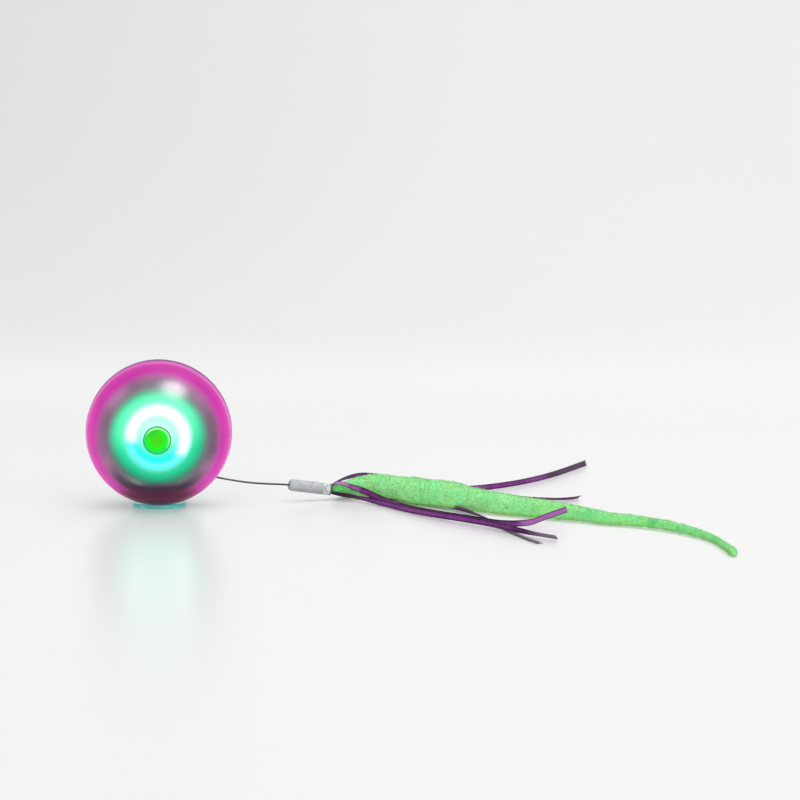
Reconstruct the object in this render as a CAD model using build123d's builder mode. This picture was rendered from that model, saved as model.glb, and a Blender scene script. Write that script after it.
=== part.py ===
"""Self-rolling light-up cat ball that drags a plush tail, standing in a clear foot ring.

Two domes turn on a level axle along Y and roll the ball. A drum between them, the core, stays still and
holds the motors, battery, boards and button. The front is -Y, up is +Z, and the tail leaves towards +X.
The origin is on the floor under the ball. Sizes are in millimetres and degrees.
"""

import os
from math import acos, atan2, cos, degrees, hypot, pi, radians, sin, sqrt, tan

from build123d import *

# ---- Clearances ----
fit_gap = 0.2  # a loose part in its pocket, each side
bearing_gap = 0.08  # a shaft in its bearing, radial
close_gap = 0.03  # a hub pressed on its shaft, radial
snug_gap = 0.05  # a part clamped between two others
key_gap = 0.1  # a ring gear and its keys in the dome's collar
seat_gap = 0.5  # the ball above the seat of the foot ring
seam_gap = 2.4  # between the rims of the two domes

# ---- Ball ----
ball_radius = 38.0
shell_wall = 2.2
dome_boss_wall = 2.0

# ---- Motors: micro gear motors, two flats 10 apart on a round of 12 ----
motor_radius = 6.0
motor_flats = 10.0
motor_can_length = 15.0
gearbox_length = 9.0
motor_nose_radius = 2.0
motor_nose_length = 0.8
output_shaft_radius = 1.5
shaft_flat = 0.5  # depth of the flat on the output shaft
shaft_bearing_length = 5.0
motor_angle = 25.0  # each motor's axis, off the vertical below the axle

# ---- Gears ----
gear_module = 0.8
pinion_teeth = 12
pressure_angle = radians(20.0)
gear_backlash = 0.16
pinion_addendum = 0.8
ring_addendum = 0.48  # short teeth, so that the small pinion runs free
gear_dedendum = 1.0
gear_width = 3.6
gear_side_gap = 0.6
ring_gear_rim = 2.0
key_count = 4
key_width = 4.0
key_height = 0.8

# ---- Core drum ----
drum_wall = 1.4
bulkhead_wall = 1.2
drum_edge = 0.8
bay_wall = 1.2
screw_count = 3
screw_inset = 2.3  # from the drum's inside to a screw's axis
screw_radius = 1.0
screw_head_radius = 1.9
screw_head_height = 1.3
screw_boss_radius = 2.6
screw_bite = 8.0  # how far the screws reach into the front half

# ---- Battery and main board ----
battery_size = (33.0, 10.0, 23.0)  # across, high, along the axle
bay_gap = 2.3  # between the motors' pockets and the battery's
battery_round = 2.4
board_size = (38.0, 1.2, 22.0)
board_gap = 4.4  # between the battery and the board
chip_size = (7.0, 1.2, 7.0)
plug_size = (7.5, 4.0, 5.0)
capacitor_radius = 2.0
capacitor_height = 5.0
capacitor_spacing = (19.0, 6.0)

# ---- Light plate, LED board and light ring ----
plate_clearance = 1.4  # inside the tips of the ring gear
plate_wall = 1.4
plate_gap = 0.8
led_board_wall = 1.0
led_board_rim = 1.0  # LED board beyond the light ring
led_size = 2.4
led_height = 0.8
led_count = 10
led_gap = 0.5
light_ring_outer = 16.7
light_ring_inner = 11.0
light_ring_wall = 0.9

# ---- Trunnions, the axle ends ----
trunnion_radius = 6.3
shoulder_radius = 7.6
shoulder_gap = 1.2  # ahead of the light ring
bezel_depth = 5.2  # from the ball's surface to the trunnion's end
flange_depth = 2.8
bezel_radius = 7.2
bezel_gap = 0.2
bezel_sink = 0.1  # bezel face under the ball's surface
collar_wall = 1.3  # the dome's collar around its ring gear
collar_lip = 0.8  # collar behind the ring gear
collar_ledge = 0.8  # ledge ahead of the ring gear, beyond its teeth
collar_room = 1.5  # between the collar's open end and the dome, at least
edge_round = 0.4

# ---- Power button, its spring and its switch ----
button_radius = 5.5
button_gap = 0.15
button_head = 1.7
button_travel = 0.8
button_floor = 3.4
dish_radius = 3.5
dish_depth = 0.45
stem_radius = 2.2
collar_radius = 3.6
collar_width = 1.6
collar_gap = 0.1
sleeve_length = 4.0
spring_bore = 4.35
spring_coil_radius = 3.1
spring_wire_radius = 0.25
spring_turns = 5
ledge_depth = 5.8
ledge_wall = 1.2
ledge_bore = 2.5
switch_size = 6.0
switch_height = 3.5
plunger_radius = 1.75
plunger_height = 1.0

# ---- Charging socket and its plug ----
socket_width = 8.9
socket_height = 3.2
socket_length = 7.3
socket_wall = 0.3
socket_bore = 4.85
tongue_width = 6.7
tongue_height = 0.7
tongue_length = 5.0
tongue_setback = 1.2
plug_head = 1.4
plug_gap = 0.3  # behind the plug's head
plug_tongue = 3.2

# ---- Seam ring and the tail's pivot ----
seam_ring_inset = 1.4  # under the ball's surface
seam_ring_wall = 1.8
seam_ring_tongue = 0.65  # held between the core halves
slot_start = -50.0  # the slot of the tail wire, from its lower end
slot_sweep = 52.0
tail_pin_turn = -44.4  # its place round the axle, from the level towards +X
tail_pin_radius = 0.8
lug_radius = 2.2
lug_stand = 0.1  # between the pin's lug and the drum
lug_wall = 1.8
eye_radius = 1.7
eye_wall = 2.0
eye_gap = 0.15
barrel_radius = 0.95
barrel_reach = 5.0

# ---- Foot ring ----
foot_radius = 14.0
foot_height = 2.0
foot_inner_radius = 8.0
foot_edge = 0.3

# ---- Tail ----
wire_radius = 0.5
ferrule_radius = 3.1
ferrule_length = 23.5
ferrule_bore = 2.4
ferrule_bore_depth = 17.0
ferrule_end_round = 1.6
wire_hole = 0.9
wire_hole_depth = 4.0
wire_depth = 2.5
crimp_radius = 1.9
crimp_depth = 0.25
crimp_width = 0.7
crimp_place = 4.0  # from the ferrule's mouth
crimp_facing = Vector(0, -1, 0.3)
worm_rest = 0.2  # the worm's underside above the floor
worm_root_depth = 2.5
worm_root_radius = 1.5
worm_neck_radius = 1.8
worm_tip_share = 0.7  # the last section's radius and distance, of the one before it
ribbon_width = 3.2
ribbon_thickness = 0.35
ribbon_rest = 0.25  # a ribbon's underside above the floor
ferrule_start = Vector(67.7, 10.5, 9.2)
ferrule_way = Vector(22.3, 7.5, -3.8).normalized()
mouth = ferrule_start + ferrule_way * ferrule_length

# ---- Worked out: heights and distances along the axle, from the ball's centre ----
ball_centre = Vector(0, 0, ball_radius + seat_gap)
inner_radius = ball_radius - shell_wall
rim = seam_gap / 2
half_inner = max(motor_can_length + gearbox_length, battery_size[2], board_size[2]) / 2 + fit_gap
drum_half = half_inner + bulkhead_wall
gear_back = drum_half + gear_side_gap
gear_front = gear_back + gear_width
collar_end = gear_back - collar_lip
ring_wall = gear_dedendum + ring_gear_rim + key_gap + collar_wall
ring_limit = sqrt(inner_radius**2 - collar_end**2) - collar_room - ring_wall
ring_teeth = int(2 * ring_limit / gear_module)
ring_pitch_radius = gear_module * ring_teeth / 2
pinion_pitch_radius = gear_module * pinion_teeth / 2
gear_distance = ring_pitch_radius - pinion_pitch_radius
ring_tip_radius = ring_pitch_radius - ring_addendum
ring_root_radius = ring_pitch_radius + gear_dedendum
ring_gear_radius = ring_root_radius + ring_gear_rim
pinion_tip_radius = pinion_pitch_radius + pinion_addendum
pinion_root_radius = pinion_pitch_radius - gear_dedendum
motor_corner = sqrt(motor_radius**2 - (motor_flats / 2) ** 2)
drum_inner = hypot(gear_distance + motor_flats / 2, motor_corner) + fit_gap
drum_radius = drum_inner + drum_wall
screw_circle = drum_inner - screw_inset
seam_ring_radius = ball_radius - seam_ring_inset
plate_back = gear_front + plate_gap
plate_front = plate_back + plate_wall
plate_radius = ring_tip_radius - plate_clearance
led_board_front = plate_front + led_board_wall
led_front = led_board_front + led_height
light_ring_front = led_front + led_gap + light_ring_wall
shoulder_end = light_ring_front + shoulder_gap
boss_back = shoulder_end + fit_gap
trunnion_end = ball_radius - bezel_depth
flange_back = ball_radius - flange_depth
ledge_back = drum_half + ledge_depth
ledge_front = ledge_back + ledge_wall
sleeve_end = trunnion_end - sleeve_length
collar_front = sleeve_end - collar_gap
collar_back = collar_front - collar_width
stem_end = ledge_back + plunger_height + button_travel + collar_gap
motor_spot = (-gear_distance * sin(radians(motor_angle)), -gear_distance * cos(radians(motor_angle)))
motor_turn = degrees(atan2(motor_spot[1], motor_spot[0]))
battery_height = motor_spot[1] + motor_radius + bay_gap + 2 * fit_gap + battery_size[1] / 2
board_height = battery_height + (battery_size[1] + board_size[1]) / 2 + board_gap
tail_pin_reach = drum_radius + lug_radius + lug_stand
tail_pin_spot = (tail_pin_reach * cos(radians(tail_pin_turn)), tail_pin_reach * sin(radians(tail_pin_turn)))
tail_pin_centre = ball_centre + Vector(tail_pin_spot[0], 0, tail_pin_spot[1])
lug_start = eye_wall / 2 + eye_gap
lug_end = lug_start + lug_wall

# ---- Planes: in the first, local Z runs ahead from the ball's centre; in the second, local X does ----
face_plane = Plane(ball_centre, x_dir=(1, 0, 0), z_dir=(0, -1, 0))
section_plane = Plane(ball_centre, x_dir=(0, -1, 0), z_dir=(-1, 0, 0))
axle = Axis(ball_centre, (0, 1, 0))


def depth_at(radius, away):
    """How far ahead of the centre a sphere of this radius is, at this distance from the axle."""
    return sqrt(radius**2 - away**2)


def save(piece, name):
    """Label a finished piece and write its STEP file."""
    piece.part.label = name
    export_step(piece.part, f"parts/{name}.step")


def turned_about(piece):
    """The same moulding fitted on the rear side: turned half round about the upright axis."""
    return piece.part.rotate(Axis.Z, 180)


def involute(angle):
    return tan(angle) - angle


def tooth_half_angle(radius, pitch_radius, thickness):
    """Half the angle that an involute tooth takes at a radius, from its thickness on the pitch circle."""
    base_radius = pitch_radius * cos(pressure_angle)
    slope = acos(min(1.0, base_radius / radius))
    return thickness / (2 * pitch_radius) + involute(pressure_angle) - involute(slope)


def tooth_outline(count, radii, pitch_radius, thickness, first_turn):
    """Corner points of a toothed outline; radii run from the root of a tooth to its tip."""
    points = []
    for index in range(count):
        middle = radians(first_turn) + 2 * pi * index / count
        flank = [(radius, tooth_half_angle(radius, pitch_radius, thickness)) for radius in radii]
        rising = [(radius, middle - half) for radius, half in flank]
        falling = [(radius, middle + half) for radius, half in reversed(flank)]
        points += [(radius * cos(turn), radius * sin(turn)) for radius, turn in rising + falling]
    return points


os.makedirs("parts", exist_ok=True)

# ---- Foot ring: a short clear ring with a seat hollowed to the ball ----
seat_radius = ball_radius + seat_gap
with BuildPart() as foot_ring:
    with BuildSketch(Plane.XZ):
        with BuildLine():
            seat_edge = depth_at(seat_radius, ball_centre.Z - foot_height)
            seat_bottom = ball_centre.Z - depth_at(seat_radius, foot_inner_radius)
            Polyline(
                (foot_inner_radius, seat_bottom),
                (foot_inner_radius, 0),
                (foot_radius, 0),
                (foot_radius, foot_height),
                (seat_edge, foot_height),
            )
            RadiusArc((seat_edge, foot_height), (foot_inner_radius, seat_bottom), seat_radius)
        make_face()
    revolve(axis=Axis.Z)
    chamfer(foot_ring.edges().group_by(Axis.Z)[0], foot_edge)
    fillet(foot_ring.edges().group_by(Axis.Z)[-1].sort_by(SortBy.RADIUS)[-1], foot_edge)
save(foot_ring, "foot_ring")

# ---- Core: the blank both halves start from, a drum half with its bays and trunnion ----
screw_turns = [90 + 360 * index / screw_count for index in range(screw_count)]


def motor_plane(ahead, side=-1):
    """A plane across a motor's axis, its X pointing away from the axle; side 1 is the rear motor's."""
    spot = Vector(-side * motor_spot[0], -ahead, ball_centre.Z + motor_spot[1])
    return Plane(spot, x_dir=(-side * motor_spot[0], 0, motor_spot[1]), z_dir=(0, -1, 0))


def draw_motor_section(grow):
    """Draw a motor's section into the open sketch: a round with two flats, grown by a clearance."""
    Circle(motor_radius + grow)
    Rectangle(motor_flats + 2 * grow, 2 * (motor_radius + grow), mode=Mode.INTERSECT)


def draw_shaft_section(grow):
    """Draw an output shaft's section with its flat into the open sketch, grown by a clearance."""
    radius = output_shaft_radius + grow
    Circle(radius)
    with Locations((-shaft_flat, 0)):
        Rectangle(2 * radius, 2 * radius, mode=Mode.INTERSECT)


with BuildPart() as core_blank:
    with BuildSketch(section_plane):
        with BuildLine():
            Polyline(
                (0, drum_inner),
                (half_inner, drum_inner),
                (half_inner, 0),
                (trunnion_end, 0),
                (trunnion_end, trunnion_radius),
                (shoulder_end, trunnion_radius),
                (shoulder_end, shoulder_radius),
                (drum_half, shoulder_radius),
                (drum_half, drum_radius - drum_edge),
                (drum_half - drum_edge, drum_radius),
                (0, drum_radius),
                close=True,
            )
        make_face()
    revolve(axis=axle)
    # Walls that stand on the bulkhead: motor cradles, battery bay, board rails and screw bosses.
    with BuildSketch(face_plane):
        with Locations(motor_spot, (-motor_spot[0], motor_spot[1])):
            Circle(motor_radius + fit_gap + bay_wall)
        with Locations((0, battery_height)):
            Rectangle(
                battery_size[0] + 2 * (fit_gap + bay_wall),
                battery_size[1] + 2 * (fit_gap + bay_wall),
            )
        for side in (-1, 1):
            with Locations((side * board_size[0] / 2, board_height)):
                Rectangle(2 * bay_wall + 2 * fit_gap, 2 * (bay_wall + fit_gap) + board_size[1])
        for turn in screw_turns:
            with PolarLocations(screw_circle, 1, start_angle=turn):
                Circle(screw_boss_radius)
        Circle(drum_inner + drum_wall / 2, mode=Mode.INTERSECT)
    extrude(amount=half_inner)
    # The pockets themselves.
    for side in (-1, 1):
        with BuildSketch(motor_plane(0, side)):
            draw_motor_section(fit_gap)
        extrude(amount=half_inner, mode=Mode.SUBTRACT)
    with BuildSketch(face_plane):
        with Locations((0, battery_height)):
            Rectangle(battery_size[0] + 2 * fit_gap, battery_size[1] + 2 * fit_gap)
        with Locations((0, board_height)):
            Rectangle(board_size[0] + 2 * fit_gap, board_size[1] + 2 * fit_gap)
    extrude(amount=half_inner, mode=Mode.SUBTRACT)
    # The rebate that clamps the seam ring.
    with BuildSketch(face_plane):
        Circle(drum_radius + fit_gap)
        Circle(drum_radius - seam_ring_tongue - snug_gap, mode=Mode.SUBTRACT)
    extrude(amount=seam_ring_wall / 2 + snug_gap, mode=Mode.SUBTRACT)
    # The hole that the gearbox's nose fills.
    with BuildSketch(motor_plane(half_inner)):
        Circle(motor_nose_radius + fit_gap)
    extrude(amount=bulkhead_wall, mode=Mode.SUBTRACT)

# Ears for the tail pin stand on both halves at the tail's side.
with BuildPart() as tail_ear:
    with BuildSketch(face_plane.offset(lug_start)):
        with Locations(tail_pin_spot):
            Circle(lug_radius)
        ear_root = drum_radius - drum_wall / 2
        with PolarLocations((ear_root + tail_pin_reach) / 2, 1, start_angle=tail_pin_turn):
            Rectangle(tail_pin_reach - ear_root, 2 * lug_radius)
        with Locations(tail_pin_spot):
            Circle(tail_pin_radius + close_gap, mode=Mode.SUBTRACT)
    extrude(amount=lug_wall)

with BuildPart() as core_front_half:
    add(core_blank.part)
    add(tail_ear.part)
    # Bore for the stem and spring, a ledge with the stem's hole, and the switch's square pocket behind it.
    with BuildSketch(face_plane.offset(ledge_front)):
        Circle(spring_bore)
    extrude(amount=trunnion_end - ledge_front, mode=Mode.SUBTRACT)
    with BuildSketch(face_plane.offset(half_inner)):
        Circle(ledge_bore)
    extrude(amount=ledge_front - half_inner, mode=Mode.SUBTRACT)
    with BuildSketch(face_plane.offset(half_inner)):
        Rectangle(switch_size + fit_gap, switch_size + fit_gap)
    extrude(amount=ledge_back - half_inner, mode=Mode.SUBTRACT)
    # Holes that the screws bite into.
    with BuildSketch(face_plane):
        for turn in screw_turns:
            with PolarLocations(screw_circle, 1, start_angle=turn):
                Circle(screw_radius + close_gap)
    extrude(amount=screw_bite + fit_gap, mode=Mode.SUBTRACT)
save(core_front_half, "core_front_half")

with BuildPart() as core_rear_half:
    add(turned_about(core_blank))
    mirror(tail_ear.part, about=Plane.XZ)
    # The trunnion is bored through for the charging socket.
    with BuildSketch(face_plane.offset(-trunnion_end)):
        Circle(socket_bore)
    extrude(amount=trunnion_end - half_inner, mode=Mode.SUBTRACT)
    # Clear holes for the screws, sunk for their heads in the bulkhead's outer face.
    for turn in screw_turns:
        with BuildSketch(face_plane.offset(-drum_half)):
            with PolarLocations(screw_circle, 1, start_angle=turn):
                Circle(screw_radius + fit_gap)
        extrude(amount=drum_half, mode=Mode.SUBTRACT)
        with BuildSketch(face_plane.offset(-drum_half)):
            with PolarLocations(screw_circle, 1, start_angle=turn):
                Circle(screw_head_radius + fit_gap)
        extrude(amount=screw_head_height + fit_gap, mode=Mode.SUBTRACT)
save(core_rear_half, "core_rear_half")

with BuildPart() as core_screws:
    head_face = -drum_half + fit_gap
    for turn in screw_turns:
        with BuildSketch(face_plane.offset(head_face)):
            with PolarLocations(screw_circle, 1, start_angle=turn):
                Circle(screw_head_radius)
        extrude(amount=screw_head_height)
        with BuildSketch(face_plane.offset(head_face)):
            with PolarLocations(screw_circle, 1, start_angle=turn):
                Circle(screw_radius)
        extrude(amount=screw_bite - head_face)
save(core_screws, "core_screws")

# ---- Seam ring: the narrow fixed band between the domes, slotted for the tail wire ----
with BuildPart() as seam_ring:
    with BuildSketch(face_plane.offset(-seam_ring_wall / 2)):
        Circle(seam_ring_radius)
        Circle(drum_radius - seam_ring_tongue, mode=Mode.SUBTRACT)
    extrude(amount=seam_ring_wall)
    with BuildSketch(face_plane.offset(-seam_ring_wall / 2)):
        with BuildLine():
            floor_arc = CenterArc((0, 0), drum_radius + fit_gap, slot_start, slot_sweep)
            open_arc = CenterArc((0, 0), ball_radius, slot_start, slot_sweep)
            Line(floor_arc @ 0, open_arc @ 0)
            Line(floor_arc @ 1, open_arc @ 1)
        make_face()
    extrude(amount=seam_ring_wall, mode=Mode.SUBTRACT)
save(seam_ring, "seam_ring")

with BuildPart() as tail_pin:
    with BuildSketch(face_plane.offset(-lug_end)):
        with Locations(tail_pin_spot):
            Circle(tail_pin_radius)
    extrude(amount=2 * lug_end)
save(tail_pin, "tail_pin")

# ---- Light plate: the pale cup that closes the gear space and glows behind the dome ----
plate_bore = shoulder_radius + fit_gap
with BuildPart() as front_light_plate:
    with BuildSketch(section_plane):
        with BuildLine():
            Polyline(
                (drum_half, plate_radius - plate_wall),
                (drum_half, plate_radius),
                (plate_front - edge_round, plate_radius),
                (plate_front, plate_radius - edge_round),
                (plate_front, plate_bore),
                (drum_half, plate_bore),
                (drum_half, plate_bore + plate_wall),
                (plate_back, plate_bore + plate_wall),
                (plate_back, plate_radius - plate_wall),
                close=True,
            )
        make_face()
    revolve(axis=axle)
    # The window in its skirt that the pinion looks out of.
    with BuildSketch(face_plane.offset(drum_half)):
        with Locations(motor_spot):
            Circle(pinion_tip_radius + gear_side_gap)
    extrude(amount=plate_back - drum_half, mode=Mode.SUBTRACT)
save(front_light_plate, "front_light_plate")

# ---- LED board: a ring of board with square LEDs ----
with BuildPart() as front_led_board:
    with BuildSketch(face_plane.offset(plate_front)):
        Circle(light_ring_outer + led_board_rim)
        Circle(plate_bore, mode=Mode.SUBTRACT)
    extrude(amount=led_board_wall)
    with BuildSketch(face_plane.offset(led_board_front)):
        with PolarLocations((light_ring_outer + light_ring_inner) / 2, led_count):
            Rectangle(led_size, led_size)
    extrude(amount=led_height)
save(front_led_board, "front_led_board")

# ---- Light ring: a translucent channel over the LEDs ----
with BuildPart() as front_light_ring:
    with BuildSketch(section_plane):
        with BuildLine():
            channel_floor = light_ring_front - light_ring_wall
            Polyline(
                (led_board_front, light_ring_outer - light_ring_wall),
                (led_board_front, light_ring_outer),
                (light_ring_front - edge_round, light_ring_outer),
                (light_ring_front, light_ring_outer - edge_round),
                (light_ring_front, light_ring_inner + edge_round),
                (light_ring_front - edge_round, light_ring_inner),
                (led_board_front, light_ring_inner),
                (led_board_front, light_ring_inner + light_ring_wall),
                (channel_floor, light_ring_inner + light_ring_wall),
                (channel_floor, light_ring_outer - light_ring_wall),
                close=True,
            )
        make_face()
    revolve(axis=axle)
save(front_light_ring, "front_light_ring")

# ---- Motor, gearbox, output shaft and pinion ----
gearbox_face = half_inner - fit_gap
gearbox_back = gearbox_face - gearbox_length
shaft_back = gearbox_face - shaft_bearing_length
pinion_overhang = gear_side_gap / 3


with BuildPart() as front_motor:
    with BuildSketch(motor_plane(gearbox_back - motor_can_length)):
        draw_motor_section(0)
    extrude(amount=motor_can_length)
save(front_motor, "front_motor")

with BuildPart() as front_gearbox:
    with BuildSketch(motor_plane(gearbox_back)):
        draw_motor_section(0)
    extrude(amount=gearbox_length)
    with BuildSketch(motor_plane(gearbox_face)):
        Circle(motor_nose_radius)
    extrude(amount=motor_nose_length)
    with BuildSketch(motor_plane(shaft_back)):
        Circle(output_shaft_radius + bearing_gap)
    extrude(amount=shaft_bearing_length + motor_nose_length, mode=Mode.SUBTRACT)
save(front_gearbox, "front_gearbox")

pinion_back = gear_back - pinion_overhang
pinion_width = gear_width + 2 * pinion_overhang
with BuildPart() as front_output_shaft:
    with BuildSketch(motor_plane(shaft_back)):
        Circle(output_shaft_radius)
    extrude(amount=pinion_back - shaft_back)
    with BuildSketch(motor_plane(pinion_back)):
        draw_shaft_section(0)
    extrude(amount=pinion_width)
save(front_output_shaft, "front_output_shaft")

pinion_thickness = pi * gear_module / 2 - gear_backlash
pinion_radii = [
    pinion_root_radius,
    pinion_pitch_radius * cos(pressure_angle),
    pinion_pitch_radius,
    pinion_pitch_radius + pinion_addendum / 2,
    pinion_tip_radius,
]
with BuildPart() as front_pinion:
    with BuildSketch(motor_plane(pinion_back)):
        with BuildLine():
            Polyline(
                *tooth_outline(pinion_teeth, pinion_radii, pinion_pitch_radius, pinion_thickness, 0),
                close=True,
            )
        make_face()
        with BuildSketch(mode=Mode.SUBTRACT):
            draw_shaft_section(close_gap)
    extrude(amount=pinion_width)
save(front_pinion, "front_pinion")

# ---- Ring gear: internal teeth, with keys on its rim that turn the dome ----
with BuildPart() as front_ring_gear:
    with BuildSketch(face_plane.offset(gear_back)):
        Circle(ring_gear_radius)
        with PolarLocations(ring_gear_radius, key_count, start_angle=180 / key_count):
            Rectangle(2 * key_height, key_width)
        with BuildSketch(mode=Mode.SUBTRACT):
            with BuildLine():
                spaces = tooth_outline(
                    ring_teeth,
                    [ring_tip_radius, ring_root_radius],
                    ring_pitch_radius,
                    pi * gear_module / 2,
                    motor_turn,
                )
                Polyline(*spaces, close=True)
            make_face()
    extrude(amount=gear_width)
save(front_ring_gear, "front_ring_gear")

# ---- Dome: a half shell with a bearing boss at its pole and a collar for its ring gear ----
dome_bore = trunnion_radius + bearing_gap
dome_boss_radius = dome_bore + dome_boss_wall
dome_hole = bezel_radius + bezel_gap
collar_inner = ring_gear_radius + key_gap
collar_outer = collar_inner + collar_wall
ledge_inner = ring_root_radius + collar_ledge
ledge_face = gear_front + close_gap


def ball_arc(start, end):
    """An arc about the ball's centre between two points at the same distance from it."""
    middle = (atan2(start[1], start[0]) + atan2(end[1], end[0])) / 2
    radius = hypot(*start)
    return ThreePointArc(start, (radius * cos(middle), radius * sin(middle)), end)


with BuildPart() as front_dome:
    with BuildSketch(section_plane):
        with BuildLine():
            outer_rim = (rim, depth_at(ball_radius, rim))
            pole_edge = (depth_at(ball_radius, dome_hole), dome_hole)
            boss_root = (depth_at(inner_radius, dome_boss_radius), dome_boss_radius)
            ledge_root = (depth_at(inner_radius, ledge_inner), ledge_inner)
            collar_root = (depth_at(inner_radius, collar_outer), collar_outer)
            inner_rim = (rim, depth_at(inner_radius, rim))
            ball_arc(outer_rim, pole_edge)
            Polyline(
                pole_edge,
                (flange_back - fit_gap, dome_hole),
                (flange_back - fit_gap, dome_bore),
                (boss_back, dome_bore),
                (boss_back, dome_boss_radius),
                boss_root,
            )
            ball_arc(boss_root, ledge_root)
            Polyline(
                ledge_root,
                (ledge_face, ledge_inner),
                (ledge_face, collar_inner),
                (collar_end, collar_inner),
                (collar_end, collar_outer),
                collar_root,
            )
            ball_arc(collar_root, inner_rim)
            Line(inner_rim, outer_rim)
        make_face()
    revolve(axis=axle)
    with BuildSketch(face_plane.offset(collar_end)):
        with PolarLocations(ring_gear_radius, key_count, start_angle=180 / key_count):
            Rectangle(2 * (key_height + key_gap), key_width + 2 * key_gap)
    extrude(amount=ledge_face - collar_end, mode=Mode.SUBTRACT)
save(front_dome, "front_dome")

# ---- Front bezel: screws into the trunnion, holds the dome on and guides the button ----
button_bore = button_radius + button_gap
floor_face = ball_radius - button_floor
bezel_face = ball_radius - bezel_sink
with BuildPart() as front_bezel:
    with BuildSketch(section_plane):
        with BuildLine():
            bezel_rim = (depth_at(bezel_face, bezel_radius), bezel_radius)
            bore_rim = (depth_at(bezel_face, button_bore), button_bore)
            sleeve_radius = spring_bore - snug_gap
            guide_radius = stem_radius + bearing_gap
            ball_arc(bezel_rim, bore_rim)
            Polyline(
                bore_rim,
                (floor_face, button_bore),
                (floor_face, guide_radius),
                (sleeve_end, guide_radius),
                (sleeve_end, sleeve_radius),
                (trunnion_end, sleeve_radius),
                (trunnion_end, trunnion_radius),
                (flange_back, trunnion_radius),
                (flange_back, bezel_radius),
                bezel_rim,
            )
        make_face()
    revolve(axis=axle)
save(front_bezel, "front_bezel")

# ---- Power button: a crowned head with a dished middle, on a collared stem ----
with BuildPart() as power_button:
    with BuildSketch(section_plane):
        with BuildLine():
            head_back = ball_radius - button_head
            crown_rim = (depth_at(ball_radius, button_radius), button_radius)
            dish_rim = (depth_at(ball_radius, dish_radius), dish_radius)
            dish_middle = (dish_rim[0] - dish_depth, 0)
            Polyline(
                dish_middle,
                (stem_end, 0),
                (stem_end, stem_radius),
                (collar_back, stem_radius),
                (collar_back, collar_radius),
                (collar_front, collar_radius),
                (collar_front, stem_radius),
                (head_back, stem_radius),
                (head_back, button_radius),
                crown_rim,
            )
            ball_arc(crown_rim, dish_rim)
            TangentArc(dish_middle, dish_rim, tangent=(0, 1))
        make_face()
    revolve(axis=axle)
save(power_button, "power_button")

# ---- Button spring: pushes the collar ahead from the ledge ----
with BuildPart() as button_spring:
    spring_start = ledge_front + spring_wire_radius
    spring_length = collar_back - spring_wire_radius - spring_start
    with BuildLine():
        coil = Helix(
            pitch=spring_length / spring_turns,
            height=spring_length,
            radius=spring_coil_radius,
            center=ball_centre + Vector(0, -spring_start, 0),
            direction=(0, -1, 0),
        )
    with BuildSketch(Plane(coil @ 0, z_dir=coil % 0)):
        RegularPolygon(spring_wire_radius, 8)
    sweep(path=coil, is_frenet=True)
save(button_spring, "button_spring")

# ---- Power switch: a push switch against the back of the ledge ----
with BuildPart() as power_switch:
    with BuildSketch(face_plane.offset(ledge_back - switch_height)):
        Rectangle(switch_size, switch_size)
    extrude(amount=switch_height)
    with BuildSketch(face_plane.offset(ledge_back)):
        Circle(plunger_radius)
    extrude(amount=plunger_height)
save(power_switch, "power_switch")

# ---- Rear pieces: the same mouldings turned half round ----
rear_pieces = {
    "rear_light_plate": front_light_plate,
    "rear_led_board": front_led_board,
    "rear_light_ring": front_light_ring,
    "rear_motor": front_motor,
    "rear_gearbox": front_gearbox,
    "rear_output_shaft": front_output_shaft,
    "rear_pinion": front_pinion,
    "rear_ring_gear": front_ring_gear,
    "rear_dome": front_dome,
}
for name, front_piece in rear_pieces.items():
    with BuildPart() as rear_piece:
        add(turned_about(front_piece))
    save(rear_piece, name)

# ---- Rear bezel, charging socket and its plug ----
rear_face_plane = Plane(ball_centre, x_dir=(-1, 0, 0), z_dir=(0, 1, 0))
rear_section_plane = Plane(ball_centre, x_dir=(0, 1, 0), z_dir=(1, 0, 0))
plug_back = ball_radius - plug_head
socket_face = plug_back - plug_gap
socket_corner = socket_height / 2 - close_gap

with BuildPart() as rear_bezel:
    with BuildSketch(rear_section_plane):
        with BuildLine():
            bezel_rim = (depth_at(bezel_face, bezel_radius), bezel_radius)
            bore_rim = (depth_at(bezel_face, button_bore), button_bore)
            ball_arc(bezel_rim, bore_rim)
            Polyline(
                bore_rim,
                (socket_face, button_bore),
                (socket_face, 0),
                (trunnion_end, 0),
                (trunnion_end, trunnion_radius),
                (flange_back, trunnion_radius),
                (flange_back, bezel_radius),
                bezel_rim,
            )
        make_face()
    revolve(axis=axle)
    with BuildSketch(rear_face_plane.offset(trunnion_end)):
        RectangleRounded(socket_width + fit_gap, socket_height + fit_gap, socket_corner)
    extrude(amount=socket_face - trunnion_end, mode=Mode.SUBTRACT)
save(rear_bezel, "rear_bezel")

with BuildPart() as charging_socket:
    socket_back = socket_face - socket_length
    tongue_start = socket_face - tongue_length
    with BuildSketch(rear_face_plane.offset(socket_back)):
        RectangleRounded(socket_width, socket_height, socket_corner)
    extrude(amount=socket_length)
    with BuildSketch(rear_face_plane.offset(tongue_start)):
        inner_height = socket_height - 2 * socket_wall
        RectangleRounded(socket_width - 2 * socket_wall, inner_height, inner_height / 2 - close_gap)
        Rectangle(tongue_width, tongue_height, mode=Mode.SUBTRACT)
    extrude(amount=tongue_length, mode=Mode.SUBTRACT)
    with BuildSketch(rear_face_plane.offset(socket_face)):
        Rectangle(tongue_width, tongue_height)
    extrude(amount=-tongue_setback, mode=Mode.SUBTRACT)
save(charging_socket, "charging_socket")

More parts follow.
